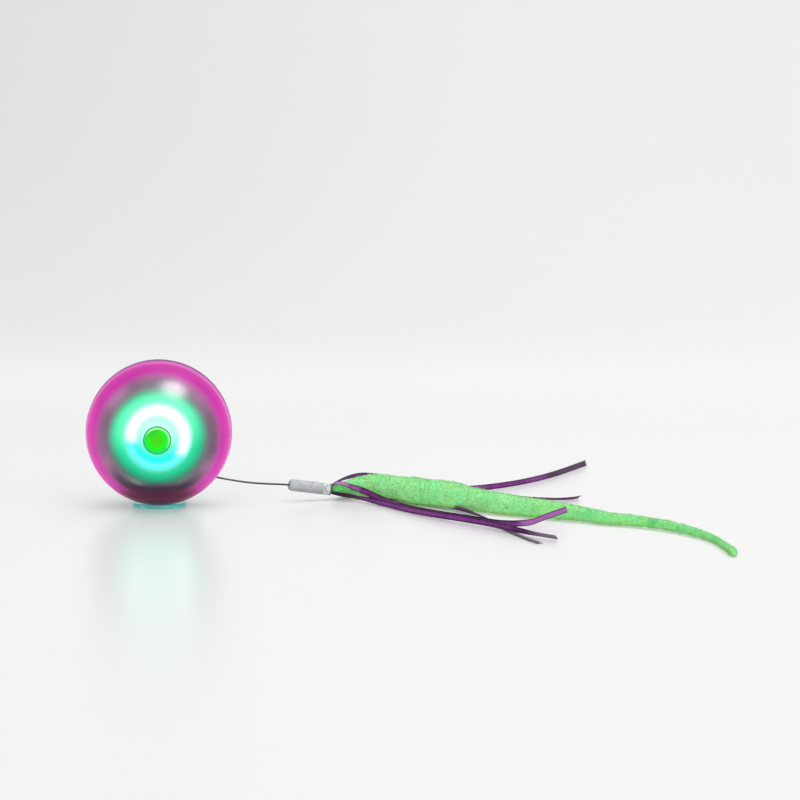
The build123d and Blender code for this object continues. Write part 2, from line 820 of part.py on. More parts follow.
with BuildPart() as port_plug:
    with BuildSketch(rear_section_plane):
        with BuildLine():
            crown_rim = (depth_at(ball_radius, button_radius), button_radius)
            ball_arc(crown_rim, (ball_radius, 0))
            Polyline((ball_radius, 0), (plug_back, 0), (plug_back, button_radius), crown_rim)
        make_face()
    revolve(axis=axle)
    with BuildSketch(rear_face_plane.offset(plug_back)):
        plug_height = socket_height - 2 * socket_wall - 2 * fit_gap
        plug_width = socket_width - 2 * socket_wall - 2 * fit_gap
        RectangleRounded(plug_width, plug_height, plug_height / 2 - close_gap)
        Rectangle(tongue_width + 2 * fit_gap, tongue_height + 2 * fit_gap, mode=Mode.SUBTRACT)
    extrude(amount=-plug_tongue)
save(port_plug, "port_plug")

# ---- Battery and main board ----
with BuildPart() as battery:
    with BuildSketch(face_plane.offset(-battery_size[2] / 2)):
        with Locations((0, battery_height)):
            RectangleRounded(battery_size[0], battery_size[1], battery_round)
    extrude(amount=battery_size[2])
    chamfer(battery.faces().sort_by(Axis.Y)[0].edges(), edge_round)
    chamfer(battery.faces().sort_by(Axis.Y)[-1].edges(), edge_round)
save(battery, "battery")

with BuildPart() as main_board:
    board_top = ball_centre.Z + board_height + board_size[1] / 2
    with BuildSketch(Plane.XY.offset(board_top - board_size[1])):
        Rectangle(board_size[0], board_size[2])
    extrude(amount=board_size[1])
    with BuildSketch(Plane.XY.offset(board_top)):
        with Locations((-chip_size[0] / 2, 0)):
            Rectangle(chip_size[0], chip_size[2])
    extrude(amount=chip_size[1])
    with BuildSketch(Plane.XY.offset(board_top)):
        with GridLocations(0, board_size[2] - plug_size[2], 1, 2):
            Rectangle(plug_size[0], plug_size[2])
    extrude(amount=plug_size[1])
    with BuildSketch(Plane.XY.offset(board_top)):
        with GridLocations(*capacitor_spacing, 2, 2):
            Circle(capacitor_radius)
    extrude(amount=capacitor_height)
save(main_board, "main_board")

# ---- Tail: an eye on the tail pin, the wire, the ferrule, the plush worm and the ribbons ----
wire_way = (Vector(33.5, 0, 13.9) - tail_pin_centre).normalized()
with BuildPart() as tail_eye:
    with BuildSketch(face_plane.offset(-eye_wall / 2)):
        with Locations(tail_pin_spot):
            Circle(eye_radius)
    extrude(amount=eye_wall)
    with BuildSketch(Plane(tail_pin_centre, z_dir=wire_way)):
        Circle(barrel_radius)
    extrude(amount=barrel_reach)
    with BuildSketch(face_plane.offset(-eye_wall / 2)):
        with Locations(tail_pin_spot):
            Circle(tail_pin_radius + bearing_gap)
    extrude(amount=eye_wall, mode=Mode.SUBTRACT)
save(tail_eye, "tail_eye")


def corner_radii(points):
    """The largest easy bend at each inner point, from 0.45 of its shorter run."""
    radii = []
    for before, corner, after in zip(points, points[1:], points[2:]):
        run_in = corner - before
        run_out = after - corner
        half_turn = radians(run_in.get_angle(run_out)) / 2
        radii.append(0.45 * min(run_in.length, run_out.length) / tan(half_turn))
    return radii


def report_cord(name, points, path, section, piece):
    """Print a cord's length, its smallest bend and how its volume compares with section times length."""
    ratio = piece.part.volume / (section * path.length)
    print(f"{name}: length {path.length:.1f}, least bend {min(corner_radii(points)):.1f}, volume {ratio:.4f}")


wire_route = [
    tail_pin_centre + wire_way * barrel_reach,
    Vector(33.5, 0, 13.9),
    Vector(46.5, 0.3, 11.7),
    Vector(56.5, 4.9, 10.4),
    Vector(63.5, 8.7, 9.7),
    ferrule_start + ferrule_way * wire_depth,
]
with BuildPart() as tail_wire:
    with BuildLine():
        wire_path = FilletPolyline(*wire_route, radius=corner_radii(wire_route))
    with BuildSketch(Plane(wire_route[0], z_dir=wire_way)):
        Circle(wire_radius)
    sweep(path=wire_path)
report_cord("tail_wire", wire_route, wire_path, pi * wire_radius**2, tail_wire)
save(tail_wire, "tail_wire")

# The ferrule: a sleeve rounded at the wire's end and open at the worm's, with a round crimp mark.
with BuildPart() as ferrule:
    with BuildSketch(Plane(ferrule_start, z_dir=ferrule_way)):
        Circle(ferrule_radius)
    extrude(amount=ferrule_length)
    fillet(ferrule.edges().filter_by(GeomType.CIRCLE).sort_by_distance(ferrule_start)[0], ferrule_end_round)
    fillet(ferrule.edges().filter_by(GeomType.CIRCLE).sort_by_distance(mouth)[0], edge_round)
    with BuildSketch(Plane(mouth, z_dir=-ferrule_way)):
        Circle(ferrule_bore)
    extrude(amount=ferrule_bore_depth, mode=Mode.SUBTRACT)
    with BuildSketch(Plane(ferrule_start, z_dir=ferrule_way)):
        Circle(wire_hole)
    extrude(amount=wire_hole_depth, mode=Mode.SUBTRACT)
    side = ferrule_way.cross(crimp_facing).cross(ferrule_way).normalized()
    crimp_centre = mouth - ferrule_way * crimp_place + side * (ferrule_radius - crimp_depth)
    with BuildSketch(Plane(crimp_centre, x_dir=ferrule_way, z_dir=side)):
        Circle(crimp_radius)
        Circle(crimp_radius - crimp_width, mode=Mode.SUBTRACT)
        with Locations((crimp_radius, 0)):
            Rectangle(crimp_radius, 2 * crimp_radius, mode=Mode.SUBTRACT)
    extrude(amount=ferrule_radius, mode=Mode.SUBTRACT)
save(ferrule, "ferrule")

# The plush worm: round sections, each given by its place, its underside's height and its radius.
worm_stations = [
    (97.5, 22.0, 2.5, 3.4),
    (105.0, 25.3, 0.9, 5.4),
    (113.5, 22.5, worm_rest, 6.6),
    (122.5, 12.3, worm_rest, 6.8),
    (135.0, -3.5, worm_rest, 7.2),
    (148.5, -17.5, worm_rest, 7.2),
    (162.5, -33.0, worm_rest, 6.4),
    (178.0, -48.0, worm_rest, 5.6),
    (196.0, -62.5, worm_rest, 5.2),
    (215.0, -74.0, worm_rest, 4.1),
    (233.0, -87.5, worm_rest, 3.4),
    (249.5, -107.0, worm_rest, 3.0),
    (261.5, -131.0, worm_rest, 2.7),
    (268.5, -160.0, worm_rest, 2.6),
    (270.7, -183.0, worm_rest, 2.3),
]
root_centre = mouth - ferrule_way * worm_root_depth
worm_centres = [Vector(x, y, height + radius) for x, y, height, radius in worm_stations]
worm_radii = [station[3] for station in worm_stations]
neck = mouth + ferrule_way * worm_root_depth
tip_radius = worm_radii[-1] * worm_tip_share
tip_centre = worm_centres[-1] + (worm_centres[-1] - worm_centres[-2]).normalized() * tip_radius
centres = [root_centre, neck] + worm_centres + [tip_centre]
radii = [worm_root_radius, worm_neck_radius] + worm_radii + [tip_radius]
with BuildPart() as plush_worm:
    for index, (centre, radius) in enumerate(zip(centres, radii)):
        ahead = centres[min(index + 1, len(centres) - 1)]
        behind = centres[max(index - 1, 0)]
        with BuildSketch(Plane(centre, z_dir=(ahead - behind).normalized())):
            Circle(radius)
    loft(ruled=True)
save(plush_worm, "plush_worm")

# The ribbons: satin strips from the ferrule's mouth. Most stand on edge on the floor, two lie flat.
edge_height = ribbon_width / 2 + ribbon_rest
flat_height = ribbon_thickness / 2 + ribbon_rest


def ribbon(name, points, flat):
    """Sweep a ribbon's strip along its route, lying flat or standing on edge, and save it."""
    route = [Vector(*point) for point in points]
    way = (route[1] - route[0]).normalized()
    sideways = Vector(0, 0, 1).cross(way).normalized()
    size = (ribbon_width, ribbon_thickness) if flat else (ribbon_thickness, ribbon_width)
    with BuildPart() as strip:
        with BuildLine():
            path = FilletPolyline(*route, radius=corner_radii(route))
        with BuildSketch(Plane(route[0], x_dir=sideways, z_dir=way)):
            Rectangle(*size)
        sweep(path=path)
    report_cord(name, route, path, ribbon_width * ribbon_thickness, strip)
    save(strip, name)


ribbon(
    "rear_ribbon",
    [
        (91.2, 21.1, 8.0),
        (98.0, 28.5, 10.6),
        (108.5, 35.5, 11.6),
        (122.0, 40.5, 8.4),
        (140.0, 43.5, 3.0),
        (160.0, 47.5, edge_height),
        (180.0, 56.0, edge_height),
        (200.0, 75.8, edge_height),
        (217.0, 103.0, edge_height),
        (230.0, 130.0, edge_height),
        (241.5, 155.0, edge_height),
    ],
    flat=False,
)
ribbon(
    "flat_ribbon",
    [
        (90.7, 18.9, 2.6),
        (97.5, 28.5, 1.3),
        (109.0, 36.0, 0.6),
        (127.0, 37.8, flat_height),
        (147.0, 33.5, flat_height),
        (167.0, 30.6, flat_height),
        (187.0, 26.5, flat_height),
        (204.5, 17.5, flat_height),
        (221.5, 12.5, flat_height),
    ],
    flat=True,
)
ribbon(
    "front_ribbon",
    [
        (91.4, 15.3, 7.3),
        (97.0, 15.9, 7.9),
        (103.8, 15.4, 6.1),
        (112.5, 10.0, 2.4),
        (120.5, -8.5, edge_height),
        (131.0, -33.0, edge_height),
        (144.0, -57.0, 2.4),
        (155.0, -72.5, 2.6),
        (163.5, -84.5, 2.7),
        (168.3, -91.3, 2.7),
        (174.0, -94.6, 2.7),
        (180.6, -94.0, 2.7),
        (186.2, -89.6, 2.7),
        (190.6, -82.6, 3.2),
        (196.8, -77.0, 4.5),
        (205.0, -75.6, 7.0),
    ],
    flat=False,
)
ribbon(
    "lower_ribbon",
    [
        (90.8, 15.2, 3.95),
        (97.0, 13.3, 3.0),
        (104.0, 9.0, 2.2),
        (111.0, 0.0, edge_height),
        (118.5, -15.0, edge_height),
        (129.0, -37.5, edge_height),
        (142.0, -60.5, 2.4),
        (155.5, -79.0, 2.6),
        (167.5, -96.5, 2.6),
        (177.0, -115.0, 2.5),
        (185.0, -127.0, 2.2),
        (193.5, -135.5, edge_height),
    ],
    flat=False,
)
ribbon(
    "under_ribbon",
    [
        (90.4, 17.0, 1.9),
        (98.0, 17.5, 0.8),
        (108.0, 18.0, flat_height),
        (117.6, 8.8, flat_height),
        (130.6, -7.4, flat_height),
        (144.0, -22.4, flat_height),
        (155.5, -37.0, flat_height),
        (162.5, -56.0, flat_height),
        (168.5, -79.0, flat_height),
        (172.5, -102.0, flat_height),
        (178.0, -124.0, flat_height),
        (184.5, -144.5, flat_height),
    ],
    flat=True,
)
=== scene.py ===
"""Looks of a rolling light-up cat ball that drags a plush worm and satin ribbons on a wire.

The ball's frosted domes, its glowing plate and ring, the button and the foot ring keep their own
shapes and get materials here. The wire, the ribbons and the plush worm are built here. Lengths are
in metres where nothing else is said; the ball's axle runs along Y and the tail leaves towards +X.
"""

import math

import bpy
import numpy as np
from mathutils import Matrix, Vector, noise


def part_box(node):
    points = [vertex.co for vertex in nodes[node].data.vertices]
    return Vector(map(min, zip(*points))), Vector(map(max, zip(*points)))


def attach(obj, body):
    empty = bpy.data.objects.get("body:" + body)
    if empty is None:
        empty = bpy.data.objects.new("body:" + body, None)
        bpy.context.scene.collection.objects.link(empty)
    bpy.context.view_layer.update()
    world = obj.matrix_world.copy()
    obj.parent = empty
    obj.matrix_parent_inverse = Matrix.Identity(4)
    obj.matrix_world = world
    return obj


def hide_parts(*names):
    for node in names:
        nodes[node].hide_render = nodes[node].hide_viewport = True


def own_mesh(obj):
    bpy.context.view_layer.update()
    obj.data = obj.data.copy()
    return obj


bl_info = {
    "name": "Light-up cat ball",
    "version": (1, 0, 0),
    "blender": (4, 5, 0),
    "location": "3D View > Sidebar > Cat ball",
    "description": "Materials, plush, ribbons and stage for a light-up cat ball with a tail",
    "category": "Object",
}

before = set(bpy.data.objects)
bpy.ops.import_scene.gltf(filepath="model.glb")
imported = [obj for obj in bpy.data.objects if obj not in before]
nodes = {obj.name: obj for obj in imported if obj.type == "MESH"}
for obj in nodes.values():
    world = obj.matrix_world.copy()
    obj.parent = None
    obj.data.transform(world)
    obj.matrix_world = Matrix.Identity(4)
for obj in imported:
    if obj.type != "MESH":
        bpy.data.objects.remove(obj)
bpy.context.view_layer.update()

MM = 0.001
dome_low, dome_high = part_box("front_dome")
AXLE_HEIGHT = (dome_low.z + dome_high.z) / 2

# Routes of the tail, in metres: control points of smooth curves.
WIRE_ROUTE = [
    (0.02737, 0.0, 0.01528), (0.0335, 0.0, 0.0139), (0.0465, 0.0003, 0.0117),
    (0.0565, 0.0049, 0.0104), (0.0635, 0.0087, 0.0097), (0.07004, 0.01129, 0.0088),
]
RIBBON_ROUTES = {
    "rear_ribbon": [
        (0.0884, 0.0182, 0.0068), (0.0918, 0.0212, 0.0084), (0.098, 0.0285, 0.0106),
        (0.1085, 0.0355, 0.0116), (0.122, 0.0405, 0.0078), (0.14, 0.0405, 0.0026),
        (0.16, 0.0415, 0.00185), (0.18, 0.0535, 0.00185), (0.2, 0.0755, 0.00185),
        (0.217, 0.103, 0.00185), (0.23, 0.13, 0.00185), (0.2415, 0.155, 0.00185),
    ],
    "flat_ribbon": [
        (0.0884, 0.018, 0.0048), (0.0912, 0.0192, 0.0028), (0.0975, 0.0285, 0.0013),
        (0.109, 0.036, 0.0006), (0.127, 0.0378, 0.00043), (0.147, 0.0335, 0.00043),
        (0.167, 0.0306, 0.00043), (0.185, 0.0235, 0.00043), (0.201, 0.009, 0.00043),
        (0.2125, 0.0045, 0.0008), (0.2215, 0.0112, 0.0016),
    ],
    "front_ribbon": [
        (0.0884, 0.0168, 0.0066), (0.0913, 0.0166, 0.0082), (0.0943, 0.0176, 0.0092),
        (0.0976, 0.0184, 0.0081), (0.1012, 0.0186, 0.0066), (0.1064, 0.0178, 0.0051),
        (0.1115, 0.0132, 0.0032), (0.117, 0.0025, 0.0021), (0.123, -0.0145, 0.00185),
        (0.131, -0.034, 0.00185), (0.144, -0.057, 0.0024), (0.155, -0.0725, 0.0026),
        (0.1635, -0.0845, 0.0027), (0.1683, -0.0913, 0.0027), (0.174, -0.0946, 0.0027),
        (0.1806, -0.094, 0.0027), (0.1862, -0.0896, 0.0027), (0.1906, -0.0826, 0.0032),
        (0.1968, -0.077, 0.0045), (0.205, -0.0756, 0.007),
    ],
    "lower_ribbon": [
        (0.0884, 0.0166, 0.0047), (0.0908, 0.0155, 0.0043), (0.097, 0.0133, 0.0034),
        (0.104, 0.009, 0.0025), (0.111, 0.0, 0.00185), (0.1185, -0.015, 0.00185),
        (0.129, -0.0375, 0.00185), (0.142, -0.0605, 0.0024), (0.1555, -0.079, 0.0026),
        (0.1675, -0.0965, 0.0026), (0.177, -0.115, 0.0025), (0.185, -0.127, 0.0022),
        (0.1935, -0.1355, 0.00185),
    ],
    "under_ribbon": [
        (0.0884, 0.0173, 0.0041), (0.0912, 0.017, 0.0033), (0.098, 0.0178, 0.0016),
        (0.108, 0.0195, 0.0006), (0.1176, 0.015, 0.00043), (0.132, 0.0016, 0.00043),
        (0.1445, -0.0127, 0.00043), (0.1532, -0.0268, 0.00043), (0.159, -0.043, 0.0006),
        (0.1645, -0.06, 0.0006), (0.169, -0.079, 0.0006), (0.1727, -0.0985, 0.0006),
        (0.1775, -0.1225, 0.0005), (0.1845, -0.1445, 0.00043),
    ],
}
# Each ribbon's real length, how grey its free end is, a painted reflection with the duller reverse
# of the satin, and how far the painted shade at its start reaches, in metres.
RIBBON_MEASURES = {
    "rear_ribbon": (0.2159, 0.0, 0.019),
    "flat_ribbon": (0.1415, 0.1, 0.019),
    "front_ribbon": (0.1842, 0.1, 0.012),
    "lower_ribbon": (0.1853, 0.75, 0.05),
    "under_ribbon": (0.2013, 0.75, 0.115),
}
# How a ribbon stands along its way: 0 on edge, 90 flat, in degrees.
RIBBON_TURNS = {
    "rear_ribbon": [(0.0, 42), (0.14, 44), (0.3, 30), (0.5, 8), (0.7, 8), (1.0, -14)],
    "flat_ribbon": [(0.0, 88), (0.6, 84), (1.0, 60)],
    "front_ribbon": [(0.0, -66), (0.12, -56), (0.26, -20), (0.4, 6), (0.75, -4), (1.0, 10)],
    "lower_ribbon": [(0.0, 46), (0.22, 44), (0.4, 4), (0.8, 12), (1.0, 48)],
    "under_ribbon": [(0.0, 70), (0.3, 76), (0.42, 34), (0.58, 40), (0.78, 62), (1.0, 80)],
}
# Stretches of a ribbon with a painted highlight, and at the rear ribbon's end with painted shade:
# start and end along it, strength, screen colour.
RIBBON_SPANS = {
    "front_ribbon": [(0.02, 0.18, 0.7, 214, 134, 222), (0.78, 1.2, 0.55, 206, 126, 214)],
    "rear_ribbon": [(0.38, 0.64, 0.5, 206, 126, 214), (0.8, 1.2, 0.85, 56, 10, 48)],
}
# The share of a ribbon over which such a stretch fades in or out.
SPAN_EASE = 0.05
# Satin's threads across a ribbon as turns of a sine, and the spacing of those along it, in metres.
THREADS = 260.0
WEFT_SPACING = 0.00011
# Where a ribbon's end starts to turn grey and where it is fully grey, in metres from the end: a
# painted reflection with the duller reverse of the satin.
GREY_END_REACH = (0.02, 0.006)
# The plush worm's sections: x, y, height of its underside and radius, in millimetres.
WORM_STATIONS = [
    (87.35, 17.11, 4.35, 1.5),
    (92.03, 18.69, 3.0, 2.5),
    (97.5, 22.0, 2.2, 3.6),
    (105.0, 25.3, 0.9, 5.4),
    (113.5, 22.5, 0.2, 6.6),
    (122.5, 12.3, 0.2, 6.8),
    (135.0, -3.5, 0.2, 7.2),
    (148.5, -17.5, 0.2, 7.2),
    (162.5, -33.0, 0.2, 6.4),
    (178.0, -48.0, 0.2, 5.6),
    (196.0, -62.5, 0.2, 5.2),
    (215.3, -76.0, 0.2, 4.05),
    (224.0, -85.5, 0.2, 3.6),
    (233.3, -90.5, 0.2, 3.4),
    (244.0, -99.5, 0.2, 3.15),
    (252.3, -109.3, 0.2, 2.95),
    (259.8, -124.0, 0.2, 2.6),
    (266.6, -142.6, 0.2, 2.15),
    (269.2, -161.0, 0.2, 1.85),
    (269.9, -178.0, 0.2, 1.95),
    (270.3, -190.0, 0.2, 1.85),
    (270.3, -192.0, 0.6, 1.3),
]
# What is inside darkens a dome in patches: turn about the axle from +X, half width, strength.
INNER_SHADOWS = [
    (98, 32, 0.5),
    (48, 22, 0.2),
    (4, 36, 0.5),
    (268, 66, 0.95),
    (174, 32, 0.3),
]
# The crimped sleeve's rounded end, in metres, and its way to the worm.
FERRULE_START = Vector((0.0677, 0.0105, 0.0092))
FERRULE_WAY = Vector((22.3, 7.5, -3.8)).normalized()
# Zones by distance from the axle, in metres: where each starts and is full, then ends and is full.
GEAR_ZONE = ((0.0235, 0.0275), (0.034, 0.0288))
RING_ZONE = ((0.0105, 0.0125), (0.018, 0.016))
PLATE_EDGE = (0.0235, 0.0205)
# A ribbon's width at its gathered start, and the share of its way over which it opens out.
GATHERED_WIDTH = 0.4
GATHERED_SHARE = 0.15
# A ribbon's thickness at its edges as a share of that between them, and its gap to the floor.
EDGE_THICKNESS = 0.25
FLOOR_GAP = 0.0001
# Steps between two control points of the wire and of a ribbon.
WIRE_STEPS = 24
RIBBON_STEPS = 16
# How far apart the worm's rings are, and how many points go round one.
WORM_SPACING = 0.0012
WORM_AROUND = 36
# The pile: where its random draws start, how deep a strand is rooted and its radius there.
PILE_SEED = 7
ROOT_DEPTH = 0.0003
ROOT_RADIUS = 0.00017
# The camera's place in metres, and its turn and tilt in radians.
CAMERA_PLACE = (0.04074791, -1.55609974, 0.21310439)
CAMERA_TURN = 0.05448039
CAMERA_TILT = 0.10129614
# The way to each lamp from the ball, and its spread in degrees.
OVERHEAD_LAMP = ((0.12, 0.12, 0.98), 60.0)
SHEEN_LAMP = ((0.335, -0.13, 0.98), 30.0)
FRONT_LAMP = ((0.12, -1.0, 0.4), 110.0)
# The floor's rows and columns, its bend into the backdrop with its steps, and the backdrop's top.
FLOOR_ROWS = (-2.6, -1.2, 0.0, 1.1)
FLOOR_COLUMNS = (-3.0, -1.0, 0.0, 1.0, 3.0)
BEND_RADIUS = 0.9
BEND_STEPS = 24
BACKDROP_TOP = 3.0
# The backdrop's shares of the floor's colour, at the left and at the right: painted shade, deeper
# on the left.
BACKDROP_SHARES = (0.73, 0.86)
# How bright the world is where it is seen straight or in a reflection.
SEEN_WORLD = 0.85


def srgb(red, green, blue):
    """A colour from its 0 to 255 screen values, as shaders take it."""
    linear = []
    for channel in (red, green, blue):
        part = channel / 255
        linear.append(part / 12.92 if part <= 0.04045 else ((part + 0.055) / 1.055) ** 2.4)
    return (*linear, 1.0)


def tone(colour, share=1.0):
    """A colour made deeper by a share, with its alpha."""
    return (*(channel * share for channel in colour[:3]), 1.0)


def operation(name, reflected=False):
    """A method of Value that adds a Math node, with its sides swapped for a reflected operator."""

    def apply(self, other):
        sides = (other, self) if reflected else (self, other)
        return self.maker.node("ShaderNodeMath", {"operation": name}, sides)

    return apply


class Value:
    """A number on a shader socket. Arithmetic on it adds Math nodes."""

    def __init__(self, maker, socket):
        self.maker = maker
        self.socket = socket

    __add__ = __radd__ = operation("ADD")
    __mul__ = __rmul__ = operation("MULTIPLY")
    __sub__ = operation("SUBTRACT")
    __rsub__ = operation("SUBTRACT", reflected=True)
    __truediv__ = operation("DIVIDE")
    __rtruediv__ = operation("DIVIDE", reflected=True)
    __pow__ = operation("POWER")
    __rpow__ = operation("POWER", reflected=True)

    def sine(self):
        return self.maker.node("ShaderNodeMath", {"operation": "SINE"}, [self])

    def size(self):
        return self.maker.node("ShaderNodeMath", {"operation": "ABSOLUTE"}, [self])


class NodeMaker:
    """A node tree in the making."""

    def __init__(self, tree):
        self.tree = tree
        tree.nodes.clear()

    def put(self, socket, value):
        """Link a value to a socket, or set the socket to it."""
        if isinstance(value, Value):
            self.tree.links.new(value.socket, socket)
        else:
            socket.default_value = value

    def node(self, kind, settings=None, values=(), output=0):
        """Add a node of a type with its settings and its sockets' values.

        It gives one of the node's outputs, or the node itself where output is None.
        """
        made = self.tree.nodes.new(kind)
        for name, setting in (settings or {}).items():
            setattr(made, name, setting)
        pairs = values.items() if isinstance(values, dict) else enumerate(values)
        for key, value in pairs:
            self.put(made.inputs[key], value)
        return made if output is None else Value(self, made.outputs[output])

    def between(self, value, low, high, start=0.0, end=1.0):
        """Ease a value from start at low to end at high."""
        settings = {"interpolation_type": "SMOOTHSTEP"}
        return self.node("ShaderNodeMapRange", settings, [value, low, high, start, end])

    def band(self, value, rise, fall):
        """1 between two eased edges, each given as where it is 0 and where it is 1."""
        return self.between(value, *rise) * self.between(value, *fall)


class Finish(NodeMaker):
    """A material in the making, with the one surface shader that its nodes feed."""

    def __init__(self, name, slot, **surface):
        self.slot = slot
        self.material = bpy.data.materials.new(name)
        self.material.use_nodes = True
        super().__init__(self.material.node_tree)
        self.shader = self.node("ShaderNodeBsdfPrincipled", output=None)
        self.whole = Value(self, self.shader.outputs[0])
        self.out = self.node("ShaderNodeOutputMaterial", values=[self.whole], output=None)
        self.surface(**surface)

    def surface(self, **values):
        """Feed the surface shader's sockets; an underscore stands for a space in a name."""
        for name, value in values.items():
            self.put(self.shader.inputs[name.replace("_", " ")], value)

    def paint(self, colour):
        self.surface(Base_Color=colour)

    def glow(self, colour, strength):
        self.surface(Emission_Color=colour, Emission_Strength=strength)

    def place(self):
        """A point's place in the part's own frame, in metres."""
        return self.node("ShaderNodeTexCoord", output="Object")

    def vector(self, sum_kind, first, second, output=0):
        """Vector Math on two vectors."""
        return self.node("ShaderNodeVectorMath", {"operation": sum_kind}, [first, second], output)

    def stretch(self, *scale):
        """The place scaled along each axis, so that a texture on it is stretched."""
        return self.vector("MULTIPLY", self.place(), scale)

    def split(self, vector):
        """A vector's three numbers."""
        made = self.node("ShaderNodeSeparateXYZ", values=[vector], output=None)
        return [Value(self, socket) for socket in made.outputs]

    def axle_place(self, vector=None):
        """Across, along and above the ball's axle, and the distance from it."""
        across, along, height = self.split(vector or self.place())
        lift = height - AXLE_HEIGHT
        return across, along, lift, (across * across + lift * lift) ** 0.5

    def noise(self, scale, detail=3.0, rough=0.5, vector=None):
        values = {"Scale": scale, "Detail": detail, "Roughness": rough}
        values["Vector"] = vector or self.place()
        return self.node("ShaderNodeTexNoise", values=values)

    def mix(self, factor, first, second):
        """A colour between two colours."""
        values = {0: factor, 6: first, 7: second}
        return self.node("ShaderNodeMix", {"data_type": "RGBA"}, values, output=2)

    def lay(self, colour, *layers):
        """Lay screen colours over a colour, each one given after how much of it shows."""
        for share, *screen in layers:
            colour = self.mix(share, colour, srgb(*screen))
        return colour

    def mottle(self, first, second, scale, low=0.35, high=0.7, detail=3.0, rough=0.5):
        """A colour that wanders between two colours in soft patches."""
        patches = self.between(self.noise(scale, detail, rough), low, high)
        return self.mix(patches, first, second)

    def cloud(self, dark, light, *patches):
        """Paint a mottle between two screen colours."""
        self.paint(self.mottle(srgb(*dark), srgb(*light), *patches))

    def bump(self, height, distance, strength):
        values = {"Strength": strength, "Distance": distance, "Height": height}
        self.surface(Normal=self.node("ShaderNodeBump", values=values))

    def grain(self, scale, depth, strength=0.3, detail=2.0):
        """A fine even grain in the surface."""
        self.bump(self.noise(scale, detail), depth, strength)

    def dress(self, *names):
        """Give the material to nodes of the part."""
        for name in names:
            self.dress_object(nodes[name])

    def dress_object(self, piece):
        if piece.data.materials:
            for index in range(len(piece.data.materials)):
                piece.data.materials[index] = self.material
        else:
            piece.data.materials.append(self.material)


def both(name):
    """The front one and the rear one of a pair."""
    return "front_" + name, "rear_" + name


def smooth(*names):
    """Shade nodes of the part smooth."""
    for name in names:
        for polygon in nodes[name].data.polygons:
            polygon.use_smooth = True


def link(piece):
    bpy.context.scene.collection.objects.link(piece)
    return piece


def mesh_piece(name, points, faces, loops_uv=None):
    """A smooth-shaded mesh object from points and faces."""
    mesh = bpy.data.meshes.new(name)
    mesh.from_pydata(points, [], faces)
    mesh.polygons.foreach_set("use_smooth", [True] * len(mesh.polygons))
    if loops_uv is not None:
        layer = mesh.uv_layers.new(name="along")
        layer.data.foreach_set("uv", loops_uv)
    mesh.update()
    return link(bpy.data.objects.new(name, mesh))


def quads(rows, columns, closed=True):
    """Faces between rows of points, with each row closed round on itself or open."""
    faces = []
    for base in range(0, (rows - 1) * columns, columns):
        for step in range(columns if closed else columns - 1):
            following = base + (step + 1) % columns
            faces.append((base + step, following, following + columns, base + step + columns))
    return faces


def axes_at(centres, index):
    """The way along a line of points at one of them, and the side and the rise across it."""
    way = centres[min(index + 1, len(centres) - 1)] - centres[max(index - 1, 0)]
    way.normalize()
    side = way.cross(Vector((0, 0, 1))).normalized()
    return way, side, side.cross(way)


def route_curve(name, route, resolution):
    """A smooth open curve through a route's control points."""
    curve = bpy.data.curves.new(name, "CURVE")
    curve.dimensions = "3D"
    curve.resolution_u = resolution
    spline = curve.splines.new("NURBS")
    spline.points.add(len(route) - 1)
    for point, place in zip(spline.points, route):
        point.co = (*place, 1.0)
    spline.order_u = 3
    spline.use_endpoint_u = True
    return link(bpy.data.objects.new(name, curve))


def curve_points(name, route, resolution):
    """Points read along a route's curve."""
    guide = route_curve(name, route, resolution)
    bpy.context.view_layer.update()
    graph = bpy.context.evaluated_depsgraph_get()
    mesh = bpy.data.meshes.new_from_object(guide.evaluated_get(graph))
    points = [vertex.co.copy() for vertex in mesh.vertices]
    bpy.data.meshes.remove(mesh)
    bpy.data.objects.remove(guide)
    return points


def strength_setting(name, description, default):
    return bpy.props.FloatProperty(name=name, description=description, default=default, min=0.0)


def length_setting(name, description, default):
    """A length in metres."""
    return bpy.props.FloatProperty(
        name=name, description=description, default=default, min=0.0, unit="LENGTH", precision=5
    )


def colour_setting(name, description, *screen):
    """A colour, its default given in 0 to 255 screen values."""
    return bpy.props.FloatVectorProperty(
        name=name,
        description=description,
        default=srgb(*screen)[:3],
        size=3,
        subtype="COLOR",
        min=0.0,
        max=1.0,
    )


class StageSettings(bpy.types.PropertyGroup):
    lens: bpy.props.FloatProperty(
        name="Lens", description="The camera's focal length, in millimetres", default=135.0
    )
    floor_colour: colour_setting("Floor colour", "Colour of the floor and backdrop", 249, 249, 249)
    key_strength: strength_setting("Key strength", "Brightness of the overhead lamp", 0.9)
    sheen_strength: strength_setting(
        "Sheen strength", "Brightness of the overhead lamp's reflection in glossy pieces", 5.5
    )
    front_strength: strength_setting("Front strength", "Brightness of the wide lamp in front", 1.5)
    fill_strength: strength_setting("Fill strength", "Brightness of the light from all round", 0.46)


class BallSettings(bpy.types.PropertyGroup):
    dome_colour: colour_setting("Dome colour", "Colour of the frosted domes", 202, 22, 166)
    window_radius: length_setting(
        "Window radius", "How far from the axle the domes let the lamp show through", 0.0265
    )
    glow_strength: strength_setting("Glow strength", "Brightness of the lit plates", 1.0)
    ring_strength: strength_setting("Ring strength", "Brightness of the lit rings", 1.35)
    button_colour: colour_setting("Button colour", "Colour of the power button", 0, 250, 10)
    foot_colour: colour_setting("Foot colour", "Colour of the clear foot ring", 150, 226, 224)


